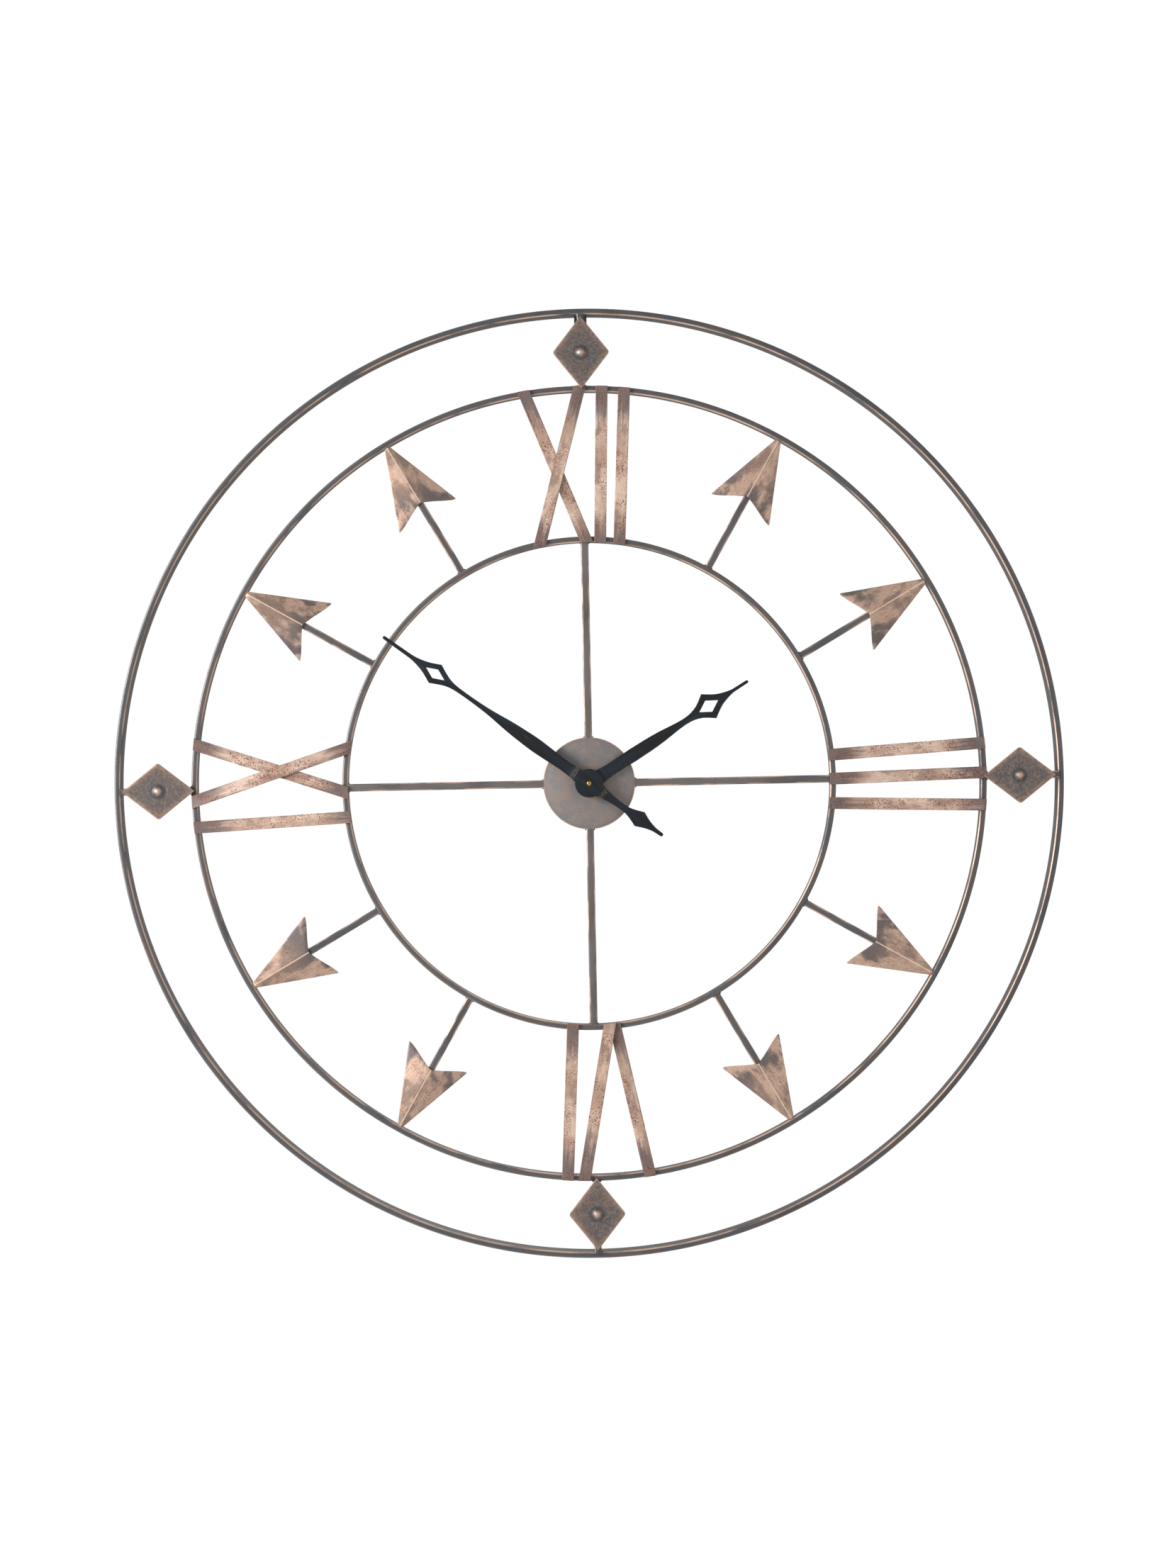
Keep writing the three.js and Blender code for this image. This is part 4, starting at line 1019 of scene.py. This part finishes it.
weldSizes = {  # the tree's inputs, in metres
    "Bead radius": 0.8 * mm, "Spacing": 0.6 * mm, "Smallest": 0.75, "Largest": 1.1, "Seed": 7,
}
weldPlaces = {  # how far the lines stand off the joints, in millimetres
    "side": 0.2, "front": 0.8, "spokeHub": 0.1, "spokeRim": 0.2, "spokeBack": 0.1,
    "hubFront": 1.8, "shaftFront": 0.5, "shaftFrom": 16, "shaftTo": 2, "linkRing": 0.1,
    "linkRim": 0.3, "linkFront": 0.6, "hangerHalf": 4.6, "hangerFront": 0.1,
}
weldFinish = {"halfMm": 2.0, "seed": 250, "tone": 0.2}


def weldTree():
    tree, ids = newGeometryTree("weldBeads", dict(weldSizes, Finish=slate))
    get = addNode(tree, "NodeGroupInput").outputs
    line = addNode(tree, "GeometryNodeMeshToCurve", {"Mesh": get["Geometry"]})
    steps = addNode(
        tree, "GeometryNodeResampleCurve", {"Curve": line, "Length": get["Spacing"]}, mode="LENGTH"
    )
    bead = addNode(
        tree, "GeometryNodeMeshIcoSphere", {"Radius": get["Bead radius"], "Subdivisions": 2}
    )
    size = addNode(
        tree, "FunctionNodeRandomValue",
        {"Min": get["Smallest"], "Max": get["Largest"], "Seed": get["Seed"]}, data_type="FLOAT",
    )
    beads = addNode(
        tree, "GeometryNodeInstanceOnPoints", {"Points": steps, "Instance": bead, "Scale": size}
    )
    closeTree(tree, beads, get["Finish"])
    return tree, ids


def weldLines():
    # each joint's lines at twelve in millimetres, and the hours that it is found at
    off = weldPlaces
    low, high = (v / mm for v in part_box("spoke_12"))
    hub, rim, back = low.z - off["spokeHub"], high.z + off["spokeRim"], high.y + off["spokeBack"]
    sides = (-high.x - off["side"], high.x + off["side"])
    spokes = [((x, low.y + off["front"], rim), (x, back, rim)) for x in sides]
    spokes += [((sides[0], back, z), (sides[1], back, z)) for z in (rim, hub)]
    spokes += [((x, low.y + off["hubFront"], hub), (x, back, hub)) for x in sides]

    low, high = (v / mm for v in boxAtTwelve("arrow_shaft_1", 1))
    sides = (-high.x - off["side"], high.x + off["side"])
    front, start, end = low.y + off["shaftFront"], high.z - off["shaftFrom"], high.z - off["shaftTo"]
    shafts = [((x, low.y + off["front"], low.z), (x, high.y, low.z)) for x in sides]
    shafts += [((sides[0], high.y, low.z), (sides[1], high.y, low.z))]
    shafts += [((x, front, start), (x, front, end)) for x in sides]

    low, high = (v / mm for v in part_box("diamond_12"))
    half = diamondSizes["linkHalfMm"] + off["side"]
    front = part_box("outer_ring")[0].y / mm + off["linkFront"]
    outer = high.z + off["linkRim"]
    links = []
    for z in (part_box("middle_ring")[1].z / mm + off["linkRing"], outer):
        links += [((x, front, z), (x, high.y, z)) for x in (-half, half)]
        links.append(((-half, high.y, z), (half, high.y, z)))

    half, front = off["hangerHalf"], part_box("wall_hanger")[0].y / mm - off["hangerFront"]
    hanger = [((-half, front, outer), (half, front, outer))]
    return (
        (spokes, hours["quarters"]), (shafts, hours["arrows"]), (links, hours["quarters"]),
        (hanger, (12,)),
    )


verts, edges = [], []
for lines, hourList in weldLines():
    for hour in hourList:
        for ends in lines:
            edges.append((len(verts), len(verts) + 1))
            verts += [turnedTo(hour) @ (Vector(end) * mm) for end in ends]
joints = bpy.data.meshes.new("weld_lines")
joints.from_pydata(verts, edges, [])
weldGroup, weldIds = weldTree()
mesh = evaluated("weld_beads", weldGroup, weldIds, dict(weldSizes, Finish=slate), joints)
setCoordinates(
    mesh, onDial, weldFinish["halfMm"], 1.0, weldFinish["seed"], tone=weldFinish["tone"]
)
place(asObject("weld_beads", mesh, slate), "frame", "slate_iron")
print("joints welded:", len(edges), "lines")


# the disc

discSizes = {
    "radiusMm": 38.7, "boreMm": 5.0, "thicknessMm": 1.5, "edgeMm": 0.4, "backBreakMm": 0.2,
    "segments": 128, "seed": 200,
}


def lathe(name, profile, segments):
    # a closed body turned about the dial axis from [radius, y] points
    verts = []
    for k in range(segments):
        turn = 2 * math.pi * k / segments
        verts += [(r * math.sin(turn), y, r * math.cos(turn)) for r, y in profile]

    def clean(work):
        bmesh.ops.remove_doubles(work, verts=work.verts, dist=1e-7)
        bmesh.ops.dissolve_degenerate(work, edges=work.edges, dist=1e-7)
        bmesh.ops.recalc_face_normals(work, faces=work.faces)

    mesh = meshFrom(name, verts, quads(segments, len(profile), closed=True))
    return shadeSmooth(edited(mesh, clean), smoothDegrees)


def discProfile(front):  # [radius, y] with the front edge rounded and the back edge broken
    radius, bore, edge = (discSizes[k] for k in ("radiusMm", "boreMm", "edgeMm"))
    back, broken = front + discSizes["thicknessMm"], discSizes["backBreakMm"]
    return [
        (bore, front), (radius - edge, front), (radius - 0.3 * edge, front + 0.3 * edge),
        (radius, front + edge), (radius, back - broken), (radius - broken, back), (bore, back),
    ]


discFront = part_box("dial_disc")[0].y / mm
mesh = lathe("dial_disc", discProfile(discFront), discSizes["segments"])
setCoordinates(mesh, onDial, discSizes["radiusMm"], 1.0, discSizes["seed"])
place(asObject("dial_disc_plate", mesh, taupe), "frame", "slate_iron", "dial_disc")
print("disc turned")


# everything else keeps its CAD shape, with its edges broken where they show: each node's
# material, slot and bevel in millimetres

keptShapes = {
    "minute_arbor": (brass, "brass", 0.12), "hex_nut": (brass, "brass", 0.35),
    "hour_wheel": (brass, "brass", 0), "threaded_bush": (brass, "brass", 0),
    "motion_wheel": (whitePlastic, "white_nylon", 0),
    "third_wheel": (whitePlastic, "white_nylon", 0),
    "second_wheel": (whitePlastic, "white_nylon", 0),
    "setting_knob": (whitePlastic, "white_nylon", 0.1),
    "rotor": (softIron, "magnet_steel", 0), "stator": (softIron, "soft_iron", 0),
    "coil": (copperWire, "copper_wire", 0), "circuit_board": (board, "circuit_board", 0),
    "movement_case": (blackPlastic, "case_plastic", 0.4),
    "back_cover": (blackPlastic, "case_plastic", 0.3), "rubber_washer": (rubber, "rubber", 0),
}
for node, (material, slotName, bevelMm) in keptShapes.items():
    if bevelMm:
        mesh = softened(node, bevelMm)
        place(asObject(node + "_edged", mesh, material), bodyOf(node), slotName, node)
    else:
        holder = frame["nodes"][node]
        holder.data.materials.clear()
        holder.data.materials.append(material)


# the cell: a drawn can with its nib, turned about its own length

cellSizes = {
    "shoulderMm": 0.7, "shoulderSteps": 4, "nibRadiusMm": 2.7, "nibMm": 1.2, "nibEdgeMm": 0.3,
    "beadAtMm": 1.8, "beadMm": 0.25, "beadHalfMm": 0.6, "boreMm": 0.02, "dimpleMm": 0.25,
    "dimpleInMm": 2.0, "dimpleEdgeMm": 0.2, "segments": 64,
}


def cellProfile(radius, length):  # [radius, distance along] of the can, from its flat end
    sizes = cellSizes
    shoulder, bore, nibEdge = sizes["shoulderMm"], sizes["boreMm"], sizes["nibEdgeMm"]
    can, nib = length - sizes["nibMm"], sizes["nibRadiusMm"]
    bead, half = can - sizes["beadAtMm"], sizes["beadHalfMm"]
    dimple, inner = sizes["dimpleMm"], radius - sizes["dimpleInMm"]
    turns = [math.radians(90 * i / sizes["shoulderSteps"]) for i in range(sizes["shoulderSteps"] + 1)]
    points = [(bore, dimple), (inner - sizes["dimpleEdgeMm"], dimple), (inner, 0.0)]
    points += [
        (radius - shoulder * (1 - math.sin(a)), shoulder * (1 - math.cos(a))) for a in turns
    ]
    points += [(radius, bead - half), (radius - sizes["beadMm"], bead), (radius, bead + half)]
    points += [
        (radius - shoulder * (1 - math.cos(a)), can - shoulder * (1 - math.sin(a))) for a in turns
    ]
    points += [(nib + nibEdge, can), (nib, can + nibEdge), (nib, length - nibEdge)]
    return points + [(nib - nibEdge, length), (bore, length)]


low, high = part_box("battery_cell")
middle = (low + high) / 2
profile = cellProfile((high.z - low.z) / 2 / mm, (high.x - low.x) / mm)
mesh = lathe("battery_cell", profile, cellSizes["segments"])
mesh.transform(Matrix.Rotation(-math.pi / 2, 4, "Z"))
mesh.transform(Matrix.Translation((low.x, middle.y, middle.z)))
place(asObject("battery_cell_can", mesh, jacket), "frame", "cell_jacket", "battery_cell")
print("movement dressed")


# floor, lights and camera

studio = {
    "floorBelowMm": 950.0, "floorAheadMm": 1600.0, "floorBehindMm": 850.0, "floorHalfMm": 1250.0,
    "floorColours": ("#f2f1ef", "#ecebe8"), "backdrop": 1.0, "ambient": 0.46,
    "cameraBackMm": 2500.0, "viewHeightMm": 1320.6, "aimMm": (-1.0, -0.6), "rollDegrees": 1.1,
    "lamps": {  # place and size in metres, and watts
        "keyLamp": ((-2.4, -1.3, 0.5), 1.2, 125), "fillLamp": ((1.9, -2.0, 0.4), 1.8, 16),
        "backLamp": ((0.8, 2.4, 1.6), 1.8, 18),
    },
}


def softLamp(name, at, size, watts):  # a square lamp turned to the dial's centre
    data = bpy.data.lights.new(name, "AREA")
    data.shape = "RECTANGLE"
    data.size = data.size_y = size
    data.energy = watts
    lamp = bpy.data.objects.new(name, data)
    lamp.location = at
    lamp.rotation_euler = (-Vector(at)).to_track_quat("-Z", "Y").to_euler()
    bpy.context.scene.collection.objects.link(lamp)


def studioFloor():
    tree = newTree("paleFloor")
    at = addNode(tree, "ShaderNodeTexCoord").outputs["Object"]
    mottle = addNode(tree, "ShaderNodeTexNoise", {"Vector": at, "Scale": 3.0})
    ground, second = studio["floorColours"]
    material = finishOf(tree, "paleFloor", layered(tree, ground, (second, mottle)), 0.9, 0.0)
    half, z = studio["floorHalfMm"], -studio["floorBelowMm"]
    near, far = -studio["floorAheadMm"], studio["floorBehindMm"]
    corners = [(-half, near, z), (half, near, z), (half, far, z), (-half, far, z)]
    mesh = meshFrom("floor", corners, [(0, 1, 2, 3)])
    asObject("studio_floor", mesh, material)


studioFloor()
for name, lamp in studio["lamps"].items():
    softLamp(name, *lamp)

world = bpy.data.worlds.new("paleStudio")
bpy.context.scene.world = world
world.use_nodes = True
sky = world.node_tree
sky.nodes.clear()
seen, lighting = [
    addNode(sky, "ShaderNodeBackground", {"Color": (1, 1, 1, 1), "Strength": studio[name]})
    for name in ("backdrop", "ambient")
]
path = addNode(sky, "ShaderNodeLightPath")
both = addNode(sky, "ShaderNodeMixShader", {0: path.outputs["Is Camera Ray"], 1: lighting, 2: seen})
addNode(sky, "ShaderNodeOutputWorld", {"Surface": both})
bpy.context.scene.view_settings.view_transform = "Standard"

cameraData = bpy.data.cameras.new("camera")
camera = bpy.data.objects.new("camera", cameraData)
aimX, aimZ = studio["aimMm"]
back = studio["cameraBackMm"]
camera.location = (aimX * mm, discFront * mm - back * mm, aimZ * mm)
camera.rotation_euler = (math.radians(90), math.radians(studio["rollDegrees"]), 0)
cameraData.sensor_width = 36.0  # the long side of the picture
cameraData.lens = cameraData.sensor_width * back / studio["viewHeightMm"]
bpy.context.scene.collection.objects.link(camera)
bpy.context.scene.camera = camera
print("studio set")
